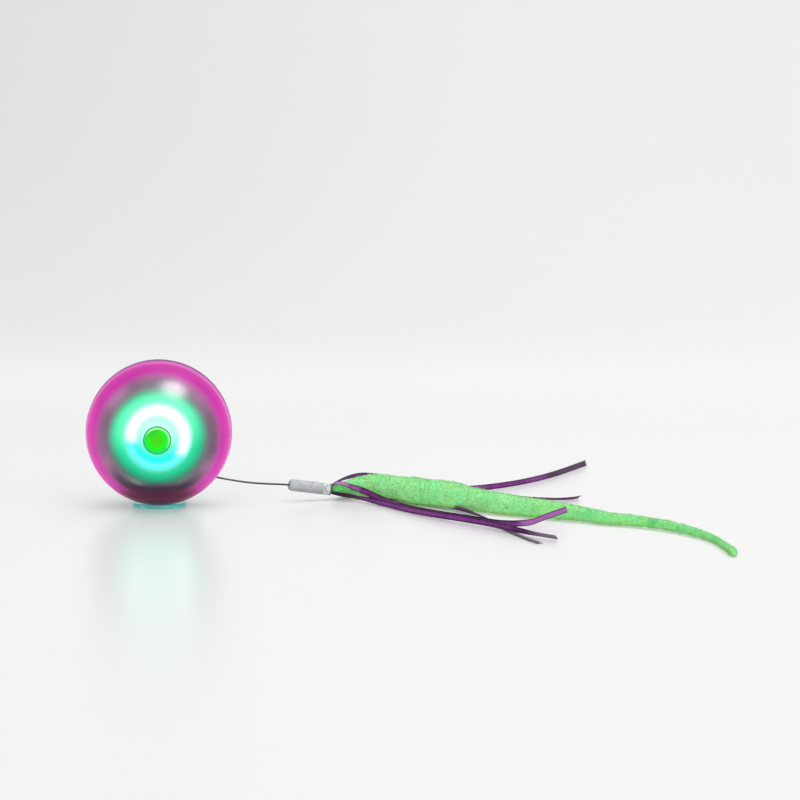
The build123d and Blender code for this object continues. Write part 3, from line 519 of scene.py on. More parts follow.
class TailSettings(bpy.types.PropertyGroup):
    wire_diameter: length_setting("Wire diameter", "Diameter over the coat", 0.001)
    ribbon_width: length_setting("Ribbon width", "Width of each satin ribbon", 0.0032)
    ribbon_thickness: length_setting("Ribbon thickness", "Thickness of each satin ribbon", 0.00035)
    ribbon_colour: colour_setting("Ribbon colour", "Colour of the satin ribbons", 106, 34, 112)
    plush_colour: colour_setting("Plush colour", "Colour of the plush worm", 166, 250, 166)
    pile_length: length_setting("Pile length", "Length of the plush's strands", 0.0012)
    pile_count: bpy.props.IntProperty(
        name="Pile count", description="How many strands the plush has", default=26000, min=1
    )


def strip(name, points, half_width, half_thickness, turn_at):
    """A thin crowned ribbon along points, gathered at its start.

    turn_at gives its turn about its way in radians, 0 on edge.
    """
    across = [-1.0, -0.94, -0.5, 0.0, 0.5, 0.94, 1.0]
    crown = half_thickness * 1.6
    last = len(points) - 1
    turns = [turn_at(index / last) for index in range(last + 1)]
    centres = []
    for point, turn in zip(points, turns):
        drop = half_width * abs(math.cos(turn)) + (half_thickness + crown) * abs(math.sin(turn))
        centres.append(Vector((point.x, point.y, max(point.z, drop + FLOOR_GAP))))
    verts = []
    for index, (centre, turn) in enumerate(zip(centres, turns)):
        way, side, rise = axes_at(centres, index)
        wide = rise * math.cos(turn) + side * math.sin(turn)
        normal = wide.cross(way)
        wave = 0.25 * math.sin(index * 0.31 + len(name)) * half_thickness
        opened = min(1.0, index / last / GATHERED_SHARE)
        gather = GATHERED_WIDTH + (1 - GATHERED_WIDTH) * opened
        front, back = [], []
        for step in across:
            edge = half_thickness * (EDGE_THICKNESS if abs(step) == 1.0 else 1.0)
            bow = crown * (0.5 - step * step) + wave * step
            middle = centre + wide * (half_width * gather * step) + normal * bow
            front.append(middle + normal * edge)
            back.append(middle - normal * edge)
        verts.extend(front + back[::-1])
    count = 2 * len(across)
    round_about = [(step + 1) / 4 for step in across]
    round_about += [1 - place for place in round_about[::-1]]
    faces = quads(len(points), count)
    uvs = []
    for index in range(last):
        start, end = index / last, (index + 1) / last
        for step in range(count):
            low = round_about[step]
            high = round_about[(step + 1) % count] or 1.0
            uvs.extend((start, low, start, high, end, high, end, low))
    faces.append(tuple(range(count))[::-1])
    uvs.extend([0.0, 0.5] * count)
    faces.append(tuple(last * count + step for step in range(count)))
    uvs.extend([1.0, 0.5] * count)
    return mesh_piece(name, verts, faces, uvs), centres


def eased(stops):
    """A function that eases between (share, degrees) stops and gives radians."""

    def at(share):
        for (low, first), (high, second) in zip(stops, stops[1:]):
            if share <= high:
                part = (share - low) / (high - low)
                part = part * part * (3 - 2 * part)
                return math.radians(first + (second - first) * part)
        return math.radians(stops[-1][1])

    return at


def satin(name, colour, length, grey_end, shaded_start, spans):
    """Woven satin: fine threads along the ribbon, a soft sheen with painted highlights and painted
    shade, and a greyer end, a painted reflection with the duller reverse of the satin.
    """
    finish = Finish(name, "purple_satin", Roughness=0.4, Specular_IOR_Level=0.16, Anisotropic=0.4)
    finish.surface(Sheen_Weight=0.12, Sheen_Roughness=0.35, Sheen_Tint=srgb(196, 120, 214))
    along, across, _ = finish.split(finish.node("ShaderNodeUVMap", {"uv_map": "along"}))
    threads = (across * THREADS).sine()
    weave = (along * (length / WEFT_SPACING)).sine() * 0.25 + threads * 0.5
    streaks = finish.noise(420.0, 4.0, 0.6)
    fold = finish.noise(55.0, 2.0, 0.5)
    edge = (across * (2 * math.pi)).sine().size()
    # Painted sheen and shade: lighter along streaks, folds and the middle, deeper elsewhere.
    shade = finish.between(streaks * 0.45 + fold * 0.3 + edge * 0.25, 0.4, 0.7)
    light = tuple(min(1.0, channel * 1.9 + 0.012) for channel in colour[:3]) + (1.0,)
    body = finish.mix(shade, tone(colour, 0.4), light)
    # Painted highlights, and painted shade at the rear ribbon's end, along stretches of the ribbon.
    for start, end, strength, *screen in spans:
        span = finish.band(along, (start, start + SPAN_EASE), (end, end - SPAN_EASE))
        body = finish.lay(body, (span * strength, *screen))
    # The grey free end: a painted reflection together with the duller reverse of the satin.
    reverse_and_reflection_end = finish.between(along, *(1.0 - reach / length for reach in GREY_END_REACH))
    body = finish.lay(
        body,
        # Painted shade along both edges of the ribbon.
        (finish.between(edge, 0.62, 0.2) * 0.8, 40, 10, 40),
        # Painted shade at the ribbon's start, where it comes out of the sleeve.
        (finish.between(along * length, shaded_start, shaded_start - 0.017) * 0.85, 52, 12, 50),
        (reverse_and_reflection_end * grey_end, 146, 134, 142),
    )
    finish.paint(body)
    finish.bump(weave + streaks * 0.8, 0.00005, 0.55)
    return finish


def worm_line(stations, spacing):
    """Even points and radii along the worm's middle, in metres, from sections in millimetres."""
    places = np.array([(x, y, low + radius) for x, y, low, radius in stations]) * MM
    radii = np.array([station[3] for station in stations]) * MM
    steps = np.linalg.norm(np.diff(places, axis=0), axis=1)
    marks = np.concatenate([[0.0], np.cumsum(steps)])
    tangents = np.gradient(places, marks, axis=0)
    slopes = np.gradient(radii, marks)
    count = int(marks[-1] / spacing)
    line = []
    for distance in np.linspace(0.0, marks[-1], count + 1):
        index = min(int(np.searchsorted(marks, distance, side="right")) - 1, len(marks) - 2)
        width = marks[index + 1] - marks[index]
        share = (distance - marks[index]) / width
        keep = 2 * share**3 - 3 * share**2 + 1
        reach = -2 * share**3 + 3 * share**2
        leave = (share**3 - 2 * share**2 + share) * width
        arrive = (share**3 - share**2) * width
        point = keep * places[index] + reach * places[index + 1]
        point = point + leave * tangents[index] + arrive * tangents[index + 1]
        radius = keep * radii[index] + reach * radii[index + 1]
        radius = radius + leave * slopes[index] + arrive * slopes[index + 1]
        line.append((Vector(point), float(radius)))
    return line


def worm_rings(line, inset):
    """Rings of points round the worm's line, lumpy as stuffed plush is, and the ways out of it."""
    rings = []
    centres = [centre for centre, _ in line]
    for index, (centre, radius) in enumerate(line):
        _, side, rise = axes_at(centres, index)
        ring = []
        for step in range(WORM_AROUND):
            angle = 2 * math.pi * step / WORM_AROUND
            out = side * math.cos(angle) + rise * math.sin(angle)
            place = centre + out * radius
            lump = noise.noise(place * 75.0) * 0.09 + noise.noise(place * 420.0) * 0.08
            reach = (radius - min(inset, radius * 0.3)) * (1.0 + lump)
            point = centre + out * reach
            point.z = max(point.z, 0.0006)
            ring.append((point, out))
        rings.append(ring)
    return rings


def plush(name, colour, tip_share):
    """Short mint pile with yellowish tints and olive tips; painted shade between the tufts, towards
    the floor and at the sleeve's mouth, and a painted glow in its own colour.
    """
    finish = Finish(name, "green_plush", Roughness=0.9, Specular_IOR_Level=0.15)
    finish.surface(Sheen_Weight=0.8, Sheen_Roughness=0.5, Sheen_Tint=srgb(200, 255, 200))
    tint = finish.between(finish.noise(90.0, 3.0, 0.6), 0.46, 0.66)
    patch = finish.between(finish.noise(62.0, 3.0, 0.6, finish.stretch(1.0, 1.4, 0.8)), 0.42, 0.6)
    tufts = finish.between(finish.noise(1100.0, 3.0, 0.7), 0.36, 0.6)
    nap = finish.lay(colour, (tint * 0.35, 214, 250, 150), (patch * 0.55, 126, 246, 172))
    # Painted shade between the tufts.
    nap = finish.mix(tufts, tone(colour, 0.74), nap)
    across, _, height = finish.split(finish.place())
    specks = finish.between(finish.noise(520.0, 2.0), 0.5, 0.55)
    # Painted shade: dark specks low down, near the floor.
    low_shade_specks = finish.between(height, 0.0014, 0.0006) * specks
    far = finish.between(across, 0.175, 0.215)
    ridges = finish.between(finish.noise(240.0, 2.0, 0.5, finish.stretch(1.0, 0.4, 0.1)), 0.5, 0.62)
    far = far * 0.3 + far * ridges * finish.between(across, 0.235, 0.245) * 0.4
    body = finish.lay(
        nap,
        # Painted shade: olive towards the floor.
        (finish.between(height, 0.004, 0.0006) * 0.7, 166, 230, 104),
        (low_shade_specks * 0.75, 92, 98, 40),
        (finish.between(across, 0.103, 0.094) * 0.7, 74, 214, 88),
        # Painted shade at the sleeve's mouth.
        (finish.between(across, 0.0925, 0.0896) * 0.8, 16, 60, 24),
        (far, 72, 208, 112),
        (finish.between(finish.noise(420.0, 2.0), 0.48, 0.56) * tip_share, 146, 168, 74),
    )
    finish.paint(body)
    # Painted light: the plush glows faintly in its own colour, for light scattered through the
    # pile.
    finish.glow(body, 0.21)
    finish.bump(finish.noise(1100.0, 3.0, 0.7), 0.0005, 0.6)
    return finish


def dress_steel(name, slot, *names):
    """Drawn steel: fine lines of polish and a little tarnish."""
    finish = Finish(name, slot, Roughness=0.26, Metallic=1.0)
    lines = finish.noise(1.0, 3.0, 0.6, finish.stretch(2600.0, 300.0, 2600.0))
    finish.cloud((206, 208, 210), (150, 150, 152), 240.0, 0.4, 0.75, 4.0)
    finish.surface(Roughness=0.2 + lines * 0.2)
    finish.bump(lines, 0.00002, 0.3)
    finish.dress(*names)


def dress_moulded(name, slot, dark, light, gloss, *names):
    """Moulded plastic: a faint mottle between two screen colours, fine grain and one gloss."""
    finish = Finish(name, slot, Specular_IOR_Level=0.5)
    finish.cloud(dark, light, 140.0, 0.35, 0.68, 4.0, 0.55)
    finish.surface(Roughness=gloss + (finish.noise(600.0, 3.0) - 0.5) * 0.12)
    finish.grain(1500.0, 0.00004, 0.35, 3.0)
    finish.dress(*names)
    return finish


class CATBALL_OT_stage(bpy.types.Operator):
    """Set the camera, roll out the pale floor with its backdrop and hang the lamps"""

    bl_idname = "cat_ball.stage"
    bl_label = "Stage"

    def execute(self, context):
        settings = context.scene.cat_ball_stage
        self.set_camera(context, settings.lens)
        self.roll_out(tone(settings.floor_colour))
        self.light_world(context, settings.fill_strength)
        self.hang_lamp("overhead lamp", *OVERHEAD_LAMP, settings.key_strength)
        sheen = self.hang_lamp("sheen lamp", *SHEEN_LAMP, settings.sheen_strength)
        sheen.visible_diffuse = False
        sheen.visible_transmission = False
        self.hang_lamp("front lamp", *FRONT_LAMP, settings.front_strength)
        context.scene.view_settings.view_transform = "Standard"
        return {"FINISHED"}

    def turn_to(self, thing, way, axis):
        """Turn a camera or a lamp so that its axis points a way."""
        thing.rotation_mode = "QUATERNION"
        thing.rotation_quaternion = Vector(way).to_track_quat(axis, "Y")

    def set_camera(self, context, lens):
        data = bpy.data.cameras.new("camera")
        data.lens = lens
        data.sensor_width = 36.0
        camera = link(bpy.data.objects.new("camera", data))
        camera.location = CAMERA_PLACE
        right, ahead = math.sin(CAMERA_TURN), math.cos(CAMERA_TURN)
        level, drop = math.cos(CAMERA_TILT), math.sin(CAMERA_TILT)
        self.turn_to(camera, (right * level, ahead * level, -drop), "-Z")
        context.scene.camera = camera

    def roll_out(self, colour):
        """A floor that curves up into the backdrop in one sheet."""
        profile = [(depth, 0.0) for depth in FLOOR_ROWS]
        bend = FLOOR_ROWS[-1]
        for step in range(1, BEND_STEPS + 1):
            angle = math.pi / 2 * step / BEND_STEPS
            rise = BEND_RADIUS - BEND_RADIUS * math.cos(angle)
            profile.append((bend + BEND_RADIUS * math.sin(angle), rise))
        profile.append((bend + BEND_RADIUS, BACKDROP_TOP))
        verts = [(x, y, z) for y, z in profile for x in FLOOR_COLUMNS]
        sweep = mesh_piece("floor", verts, quads(len(profile), len(FLOOR_COLUMNS), closed=False))
        finish = Finish("pale floor", None, Specular_IOR_Level=0.25)
        across, depth, height = finish.split(finish.place())
        # Painted shade: the floor darkens into and up the backdrop, more on the left.
        back = finish.between(depth + height, -0.2, 2.0)
        left, right = (tone(colour, share) for share in BACKDROP_SHARES)
        far = finish.mix(finish.between(across, -0.5, 0.5), left, right)
        finish.paint(finish.mix(back, colour, far))
        finish.surface(Roughness=finish.between(depth, 0.3, 1.0, 0.27, 1.0))
        sweep.data.materials.append(finish.material)

    def light_world(self, context, strength):
        """Even light from all round, and a paler world where it is seen or reflected."""
        world = bpy.data.worlds.new("studio")
        world.use_nodes = True
        context.scene.world = world
        sky = NodeMaker(world.node_tree)
        kinds = ("Is Camera Ray", "Is Glossy Ray")
        rays = [sky.node("ShaderNodeLightPath", output=kind) for kind in kinds]
        seen = sky.node("ShaderNodeMath", {"operation": "MAXIMUM"}, rays)
        level = sky.between(seen, 0.0, 1.0, strength, SEEN_WORLD)
        light = sky.node("ShaderNodeBackground", values=[(1.0, 1.0, 1.0, 1.0), level])
        sky.node("ShaderNodeOutputWorld", values=[light], output=None)

    def hang_lamp(self, name, towards, spread, strength):
        data = bpy.data.lights.new(name, "SUN")
        data.energy = strength
        data.angle = math.radians(spread)
        lamp = link(bpy.data.objects.new(name, data))
        self.turn_to(lamp, towards, "Z")
        return lamp


class CATBALL_OT_wire(bpy.types.Operator):
    """Lay the coated wire from the ball's seam to the crimped sleeve"""

    bl_idname = "cat_ball.wire"
    bl_label = "Wire"

    def execute(self, context):
        settings = context.scene.cat_ball_tail
        wire = route_curve("wire", WIRE_ROUTE, WIRE_STEPS)
        wire.data.bevel_depth = settings.wire_diameter / 2
        wire.data.bevel_resolution = 5
        wire.data.use_fill_caps = True
        finish = Finish("wire coat", "black_wire_coat", Roughness=0.38, Specular_IOR_Level=0.5)
        finish.cloud((16, 16, 18), (44, 43, 46), 700.0, 0.45, 0.7, 4.0, 0.6)
        finish.grain(2600.0, 0.00004, 0.4)
        finish.dress_object(wire)
        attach(wire, "tail")
        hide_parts("tail_wire")
        return {"FINISHED"}


class CATBALL_OT_ribbons(bpy.types.Operator):
    """Weave the five satin ribbons that trail beside the worm"""

    bl_idname = "cat_ball.ribbons"
    bl_label = "Ribbons"

    def execute(self, context):
        settings = context.scene.cat_ball_tail
        colour = tone(settings.ribbon_colour)
        for name, route in RIBBON_ROUTES.items():
            length, *ends = RIBBON_MEASURES[name]
            points = curve_points(name + "_guide", route, RIBBON_STEPS)
            piece, centres = strip(
                name.replace("_ribbon", "_satin"),
                points,
                settings.ribbon_width / 2,
                settings.ribbon_thickness / 2,
                eased(RIBBON_TURNS[name]),
            )
            spans = RIBBON_SPANS.get(name, ())
            finish = satin(name.replace("_", " "), colour, length, *ends, spans)
            finish.dress_object(piece)
            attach(piece, "tail")
            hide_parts(name)
        return {"FINISHED"}


class CATBALL_OT_worm(bpy.types.Operator):
    """Stuff the plush worm and sow its pile"""

    bl_idname = "cat_ball.worm"
    bl_label = "Plush worm"

    def execute(self, context):
        settings = context.scene.cat_ball_tail
        line = worm_line(WORM_STATIONS, WORM_SPACING)
        rings = worm_rings(line, settings.pile_length * 0.7)
        body = self.build_body(rings)
        pile = self.sow_pile(rings, settings.pile_length, settings.pile_count)
        colour = tone(settings.plush_colour)
        for name, piece, tip_share in (("plush", body, 0.0), ("plush pile", pile, 0.45)):
            plush(name, colour, tip_share).dress_object(piece)
            piece.visible_glossy = False
            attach(piece, "tail")
        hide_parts("plush_worm")
        return {"FINISHED"}

    def build_body(self, rings):
        verts = [point for ring in rings for point, _ in ring]
        # The faces run the other way round, so that they look outwards.
        faces = [face[:1] + face[:0:-1] for face in quads(len(rings), WORM_AROUND)]
        for ring, flip in ((0, 1), (len(rings) - 1, -1)):
            verts.append(sum((point for point, _ in rings[ring]), Vector()) / WORM_AROUND)
            base = ring * WORM_AROUND
            for step in range(WORM_AROUND):
                pair = (base + step, base + (step + 1) % WORM_AROUND)
                faces.append((len(verts) - 1, *pair[::flip]))
        return mesh_piece("worm_plush", verts, faces)

    def sow_pile(self, rings, length, count):
        """Small closed strands, four faces each, leaning every way out of the worm."""
        chance = np.random.default_rng(PILE_SEED)
        areas = np.array([(ring[0][0] - ring[len(ring) // 2][0]).length for ring in rings])
        picks = chance.choice(len(rings) - 1, size=count, p=areas[:-1] / areas[:-1].sum())
        verts = []
        faces = []
        for pick in picks:
            step = int(chance.integers(WORM_AROUND))
            point, out = rings[pick][step]
            ahead, _ = rings[pick + 1][step]
            beside, _ = rings[pick][(step + 1) % WORM_AROUND]
            spot = point + (ahead - point) * chance.random() + (beside - point) * chance.random()
            way = (out + Vector(chance.normal(0.0, 0.5, 3))).normalized()
            if way.dot(out) < 0.2:
                way = (way + out).normalized()
            clump = 0.6 + 0.8 * abs(noise.noise(spot * 330.0))
            tip = spot + way * (length * clump * (0.45 + 0.9 * chance.random()))
            tip.z = max(tip.z, 0.0002)
            root = spot - way * ROOT_DEPTH
            root.z = max(root.z, 0.0001)
            across = way.cross(Vector(chance.normal(0.0, 1.0, 3))).normalized() * ROOT_RADIUS
            beyond = way.cross(across).normalized() * ROOT_RADIUS
            base = len(verts)
            back = root - across * 0.5
            verts.extend((root + across, back + beyond * 0.87, back - beyond * 0.87, tip))
            for corners in ((0, 2, 1), (0, 1, 3), (1, 2, 3), (2, 0, 3)):
                faces.append(tuple(base + corner for corner in corners))
        return mesh_piece("worm_pile", verts, faces)


class CATBALL_OT_ferrule(bpy.types.Operator):
    """Finish the crimped sleeve between the wire and the worm"""

    bl_idname = "cat_ball.ferrule"
    bl_label = "Crimped sleeve"

    def execute(self, context):
        gloss = {"Roughness": 0.45, "Specular_IOR_Level": 0.16}
        finish = Finish("pale moulded sleeve", "light_grey_plastic", **gloss)
        rise = FERRULE_WAY.cross(Vector((0, 0, 1)).cross(FERRULE_WAY)).normalized()
        # Along the sleeve from its rounded end, and up from its middle, both in millimetres.
        place = finish.vector("SUBTRACT", finish.place(), FERRULE_START)
        ways = (FERRULE_WAY, rise)
        along, up = (finish.vector("DOT_PRODUCT", place, way, "Value") / MM for way in ways)
        slit = (along - up * 0.55 - 10.9).size()
        cut = finish.between(slit, 0.32, 0.14) * finish.between(up, -0.6, 0.0)
        reach = ((along - 21.1) ** 2 + (up - 0.5) ** 2) ** 0.5
        hook = finish.between((reach - 1.6).size(), 0.34, 0.16) * finish.between(along, 21.7, 21.1)
        colour = finish.lay(
            finish.mottle(srgb(180, 182, 185), srgb(196, 198, 200), 260.0),
            # Painted shade on the lower half.
            (finish.between(up, 0.2, -2.2) * 0.6, 140, 141, 146),
            (finish.between(along, 18.4, 19.6) * 0.7, 226, 227, 228),
            # Painted shade in the slit, in the C-shaped notch and at the mouth.
            (cut * 0.5, 96, 94, 102),
            (hook * 0.7, 104, 102, 110),
            (finish.between(along, 22.0, 22.6), 96, 90, 98),
        )
        finish.paint(colour)
        finish.bump(finish.noise(1800.0, 2.0) * 0.25 - cut - hook, 0.0001, 0.5)
        finish.dress("ferrule")
        smooth("ferrule")
        return {"FINISHED"}


class CATBALL_OT_domes(bpy.types.Operator):
    """Frost the two wheel domes, clear over the lamp and hazy magenta beyond it"""

    bl_idname = "cat_ball.domes"
    bl_label = "Frosted domes"

    def execute(self, context):
        settings = context.scene.cat_ball_ball
        colour = tone(settings.dome_colour)
        haze = Finish("frosted dome", "magenta_plastic", Roughness=0.34, Coat_Roughness=0.26)
        haze.surface(IOR=1.3, Transmission_Weight=0.08, Specular_IOR_Level=0.3)
        # Colours stay with the core while a dome spins, because they are painted light and shade of
        # what is inside.
        still = {"object": nodes["core_front_half"]}
        inside = haze.node("ShaderNodeTexCoord", still, output="Object")
        across, along, lift, radius = haze.axle_place(inside)
        inner_shade = haze.noise(70.0, 2.0, 0.5, inside) * 0.3
        for turn, half_width, depth in INNER_SHADOWS:
            turn = math.radians(turn)
            facing = (across * math.cos(turn) + lift * math.sin(turn)) / radius
            far = math.cos(math.radians(half_width))
            inner_shade = inner_shade + haze.between(facing, far, 1.0 - (1.0 - far) * 0.2) * depth
        gear = haze.band(radius, *GEAR_ZONE)
        bottom_shade = haze.between(lift, -0.0235, -0.0305) * haze.between(across.size(), 0.028, 0.013)
        rim = along.size()
        body = haze.lay(
            haze.mottle(tone(colour, 0.88), colour, 60.0),
            # Painted shade: a grey ring where the ring gear lies inside, darker in patches.
            (gear * 0.64, 192, 158, 182),
            (gear * inner_shade, 70, 50, 72),
            # Painted shade: deep plum at the bottom.
            (bottom_shade, 84, 2, 52),
            # The lip at the seam: a plum edge, and inside it a pale band that is a painted
            # highlight and a deeper line.
            (haze.between(rim, 0.0145, 0.0125) * 0.5, 200, 12, 128),
            (haze.between(rim, 0.0106, 0.0092) * (1 - bottom_shade), 222, 84, 198),
            (haze.between(rim, 0.0056, 0.0046) * 0.85, 98, 20, 92),
        )
        haze.paint(body)
        # Painted light: beyond the lamp the haze glows magenta, weaker towards the top and deep
        # plum at the bottom, for light passing through the shell.
        lit = haze.between(radius, 0.0275, 0.035) * haze.between(lift, 0.034, 0.004, 0.3, 1.0)
        spill = haze.mix(lit, srgb(0, 0, 0), srgb(236, 14, 190))
        haze.glow(haze.mix(bottom_shade, spill, srgb(100, 6, 58)), 0.24)
        polish = 0.06 + haze.between(radius, 0.034, 0.028) * haze.between(lift, 0.004, 0.015) * 0.3
        haze.surface(Coat_Weight=polish)
        haze.grain(900.0, 0.00004, detail=3.0)
        # Painted light and painted shade in the window: its lower part is tinted cyan, less over
        # the ring, and its bottom dark grey.
        low = haze.between(lift, 0.004, -0.008) * haze.between(radius, *PLATE_EDGE)
        low = low * (1 - haze.band(radius, *RING_ZONE) * 0.85)
        tint = haze.mix(low, srgb(222, 255, 248), srgb(96, 255, 244))
        window_bottom_shade = haze.between(lift, -0.0215, -0.0255)
        window = haze.node(
            "ShaderNodeBsdfPrincipled",
            values={
                "Base Color": haze.mix(window_bottom_shade, tint, srgb(70, 66, 78)),
                "Roughness": 0.37,
                "IOR": 1.24,
                "Transmission Weight": 1.0,
                "Specular IOR Level": 0.3,
                "Coat Weight": polish,
                "Coat Roughness": 0.26,
            },
        )
        reach = settings.window_radius
        clear = haze.between(radius, reach - 0.004, reach + 0.0055, 0.99, 0.05)
        domed = haze.node("ShaderNodeMixShader", values=[clear, haze.whole, window])
        haze.put(haze.out.inputs["Surface"], domed)
        haze.dress(*both("dome"))
        smooth(*both("dome"))
        # The tinted shells neither colour the floor nor show in it.
        for name in both("dome"):
            nodes[name].visible_diffuse = False
            nodes[name].visible_glossy = False
        return {"FINISHED"}


class CATBALL_OT_lights(bpy.types.Operator):
    """Light the plates and the rings behind the domes"""

    bl_idname = "cat_ball.lights"
    bl_label = "Lit plates and rings"

    def execute(self, context):
        settings = context.scene.cat_ball_ball
        plate = Finish("lit plate", "pale_plastic", Roughness=0.5, Specular_IOR_Level=0.06)
        across, _, lift, radius = plate.axle_place()
        up = plate.between(lift - across * 0.2, -0.012, 0.014)
        glow = plate.mix(up, srgb(0, 214, 156), srgb(96, 250, 190))
        fade = plate.between(radius + lift.size() * 0.06, 0.0266, 0.0188)
        plate.paint(plate.mix(up, srgb(0, 96, 70), srgb(40, 150, 110)))
        plate.glow(plate.mix(fade, srgb(0, 70, 56), glow), settings.glow_strength)
        plate.grain(900.0, 0.00004)
        plate.dress(*both("light_plate"))
        ring = Finish("lit ring", "opal_plastic", Roughness=0.4, Specular_IOR_Level=0.06)
        across, _, lift, radius = ring.axle_place()
        low = ring.between(lift + across * 0.28, -0.0036, -0.0078)
        core = ring.band(radius, (0.0134, 0.0142), (0.0156, 0.0147))
        wide = ring.band(radius, (0.0106, 0.0116), (0.0168, 0.0156))
        bright = ring.mix(wide, srgb(60, 226, 160), srgb(255, 255, 255))
        cool = ring.mix(core, srgb(0, 218, 216), srgb(150, 240, 250))
        ring.paint(ring.mix(low, srgb(150, 180, 176), srgb(0, 120, 116)))
        ring.glow(ring.mix(low, bright, cool), settings.ring_strength)
        ring.grain(900.0, 0.00004)
        ring.dress(*both("light_ring"))
        smooth(*both("light_ring"))
        return {"FINISHED"}


class CATBALL_OT_button(bpy.types.Operator):
    """Finish the power button, its bezel and its spring"""

    bl_idname = "cat_ball.button"
    bl_label = "Power button"

    def execute(self, context):
        colour = tone(context.scene.cat_ball_ball.button_colour)
        gloss = {"Roughness": 0.4, "Specular_IOR_Level": 0.2}
        cap = Finish("green button", "green_button_plastic", **gloss)
        across, _, lift, radius = cap.axle_place()
        dish = cap.between(radius, 0.0038, 0.003)
        shine = cap.between(lift - across * 0.5, 0.0015, 0.005)
        face = cap.mottle(tone(colour, 0.9), colour, 500.0)
        body = cap.lay(face, (shine, 40, 206, 30), (dish, 62, 214, 0))
        # Painted light: the cap is painted dark and glows in its greens, a duller green on the
        # upper left and an olive one in the dish.
        cap.paint(cap.mix(0.7, body, srgb(0, 0, 0)))
        cap.glow(body, 0.75)
        cap.grain(1600.0, 0.00003)
        cap.dress("power_button")
        gloss = {"Roughness": 0.36, "Specular_IOR_Level": 0.4}
        trim = Finish("green bezel", "green_trim_plastic", **gloss)
        across, _, lift, radius = trim.axle_place()
        glow = trim.between(lift + across * 0.6, -0.003, 0.005)
        face = trim.mix(glow, srgb(0, 222, 96), srgb(160, 255, 170))
        edge = trim.between(radius, 0.0064, 0.0067)
        body = trim.mix(edge, face, srgb(0, 176, 84))
        # Painted light: the bezel is painted dark and glows, paler towards its upper right and a
        # deeper green on its outer rim.
        trim.paint(trim.mix(0.6, body, srgb(0, 40, 10)))
        trim.glow(body, 0.6)
        trim.grain(1400.0, 0.00003)
        trim.dress(*both("bezel"))
        dress_steel("spring wire", "steel", "button_spring")
        smooth("power_button", *both("bezel"), "button_spring")
        self.wind_spring()
        return {"FINISHED"}

    def wind_spring(self):
        """A copy of the CAD spring's coil in its place, carried on the core."""
        coil = link(bpy.data.objects.new("spring_coil", nodes["button_spring"].data.copy()))
        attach(coil, "core")
        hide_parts("button_spring")
        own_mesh(coil)


class CATBALL_OT_port(bpy.types.Operator):
    """Finish the charging socket and its silicone plug"""

    bl_idname = "cat_ball.port"
    bl_label = "Charging port"

    def execute(self, context):
        plug = Finish("silicone plug", "green_silicone", Roughness=0.62, Specular_IOR_Level=0.4)
        plug.cloud((34, 186, 64), (66, 208, 92), 420.0, 0.42, 0.72, 4.0, 0.65)
        plug.grain(1200.0, 0.00005, 0.4, 3.0)
        plug.dress("port_plug")
        shell = Finish("socket shell", "socket_steel", Roughness=0.3, Metallic=1.0)
        shell.cloud((172, 174, 178), (204, 206, 208), 900.0)
        shell.grain(2000.0, 0.00002)
        shell.dress("charging_socket")
        smooth("port_plug")
        return {"FINISHED"}


class CATBALL_OT_foot(bpy.types.Operator):
    """Finish the clear teal foot ring that the ball rests on"""

    bl_idname = "cat_ball.foot"
    bl_label = "Foot ring"

    def execute(self, context):
        colour = tone(context.scene.cat_ball_ball.foot_colour)
        finish = Finish("clear teal foot", "clear_teal_plastic", Roughness=0.06, IOR=1.2)
        finish.surface(Transmission_Weight=0.95, Coat_Weight=0.3, Coat_Roughness=0.08)
        height = finish.split(finish.place())[2]
        # Painted light: the ring glows faintly, and teal along its lowest millimetre.
        lit = finish.between(height, 0.0014, 0.0008)
        finish.glow(finish.mix(lit, srgb(0, 30, 30), srgb(120, 220, 214)), 0.2)
        finish.paint(finish.mottle(tone(colour, 0.72), colour, 180.0))
        finish.grain(700.0, 0.00005)
        finish.dress("foot_ring")
        smooth("foot_ring")
        return {"FINISHED"}


class CATBALL_OT_core(bpy.types.Operator):
    """Finish the white core, its seam ring, screws and tail hinge"""

    bl_idname = "cat_ball.core"
    bl_label = "Core"

    def execute(self, context):
        white = ((222, 222, 220), (236, 236, 232))
        halves = ("core_front_half", "core_rear_half")
        shell = dress_moulded("white core", "white_plastic", *white, 0.42, *halves)
        across, _, lift, radius = shell.axle_place()
        # Painted light: near the axle the white core glows, cyan lower down, paler higher up and
        # further out.
        up = shell.between(lift + across * 0.2, -0.006, 0.005)
        outer = shell.between(radius, 0.0085, 0.0105)
        pale = shell.mix(outer, srgb(120, 250, 196), srgb(236, 255, 246))
        glow = shell.mix(up, srgb(0, 226, 190), pale)
        near = shell.between(radius, 0.0125, 0.0108)
        shell.glow(shell.mix(near, srgb(0, 0, 0), glow), 0.7)
        plum = ((46, 14, 40), (62, 20, 52))
        dress_moulded("plum seam", "plum_plastic", *plum, 0.4, "seam_ring")
        dress_steel("screw steel", "steel", "core_screws", "tail_pin", "tail_eye")
        smooth("seam_ring", "tail_pin", "tail_eye")
        return {"FINISHED"}


class CATBALL_OT_drives(bpy.types.Operator):
    """Finish the gears, motors, gearboxes and shafts"""

    bl_idname = "cat_ball.drives"
    bl_label = "Drives"

    def execute(self, context):
        grey = ((70, 74, 78), (96, 100, 102))
        dress_moulded("grey ring gear", "grey_plastic", *grey, 0.5, *both("ring_gear"))
        pale = ((214, 208, 190), (230, 226, 210))
        dress_moulded("pale pinion", "gear_plastic", *pale, 0.45, *both("pinion"))
        dress_steel("shaft steel", "steel", *both("output_shaft"))
        dress_steel("motor can", "motor_steel", *both("motor"))
        brass = Finish("brass gearbox", "brass", Roughness=0.3, Metallic=1.0)
        brass.cloud((214, 178, 96), (170, 136, 70), 300.0, 0.4, 0.7, 4.0)
        brass.grain(1500.0, 0.00003)
        brass.dress(*both("gearbox"))
        return {"FINISHED"}


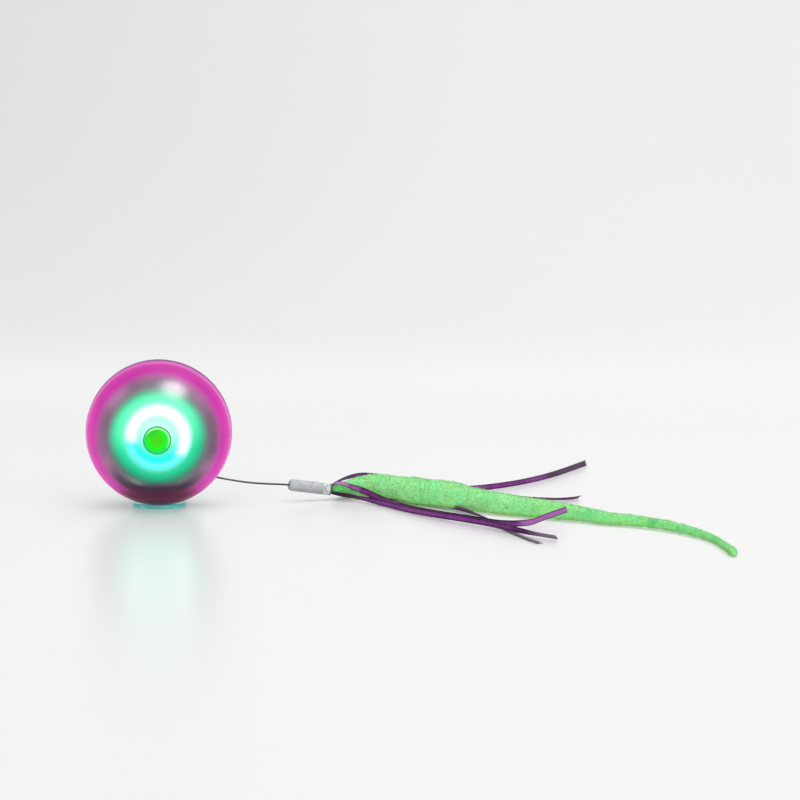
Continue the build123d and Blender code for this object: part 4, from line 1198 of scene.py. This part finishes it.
class CATBALL_OT_electrics(bpy.types.Operator):
    """Finish the boards, the battery and the switch"""

    bl_idname = "cat_ball.electrics"
    bl_label = "Electrics"

    def execute(self, context):
        green = ((14, 84, 46), (24, 110, 60))
        dress_moulded("green board", "green_board", *green, 0.4, "main_board")
        white = ((226, 228, 228), (240, 240, 238))
        dress_moulded("white board", "white_board", *white, 0.45, *both("led_board"))
        blue = ((24, 62, 128), (36, 84, 160))
        dress_moulded("battery wrap", "battery_wrap", *blue, 0.3, "battery")
        black = ((22, 22, 24), (38, 38, 40))
        dress_moulded("black switch", "black_plastic", *black, 0.5, "power_switch")
        return {"FINISHED"}


GROUPS = {"stage": StageSettings, "ball": BallSettings, "tail": TailSettings}
# The pieces in the order in which they are made.
PIECES = (
    CATBALL_OT_stage,
    CATBALL_OT_wire,
    CATBALL_OT_ribbons,
    CATBALL_OT_worm,
    CATBALL_OT_ferrule,
    CATBALL_OT_domes,
    CATBALL_OT_lights,
    CATBALL_OT_button,
    CATBALL_OT_port,
    CATBALL_OT_foot,
    CATBALL_OT_core,
    CATBALL_OT_drives,
    CATBALL_OT_electrics,
)


class CATBALL_PT_pieces(bpy.types.Panel):
    """The cat ball's sizes and colours, and the steps that make its pieces"""

    bl_idname = "CATBALL_PT_pieces"
    bl_label = "Cat ball"
    bl_space_type = "VIEW_3D"
    bl_region_type = "UI"
    bl_category = "Cat ball"

    def draw(self, context):
        for title, kind in GROUPS.items():
            box = self.layout.box()
            box.label(text=title.capitalize())
            group = getattr(context.scene, "cat_ball_" + title)
            for name in kind.__annotations__:
                box.prop(group, name)
        for piece in PIECES:
            self.layout.operator(piece.bl_idname)


CLASSES = (*GROUPS.values(), *PIECES, CATBALL_PT_pieces)


def register():
    for kind in CLASSES:
        bpy.utils.register_class(kind)
    for name, group in GROUPS.items():
        setattr(bpy.types.Scene, "cat_ball_" + name, bpy.props.PointerProperty(type=group))


def unregister():
    for name in GROUPS:
        delattr(bpy.types.Scene, "cat_ball_" + name)
    for kind in reversed(CLASSES):
        bpy.utils.unregister_class(kind)


def main():
    register()
    for piece in PIECES:
        group, step = piece.bl_idname.split(".")
        getattr(getattr(bpy.ops, group), step)()


if __name__ == "__main__":
    main()
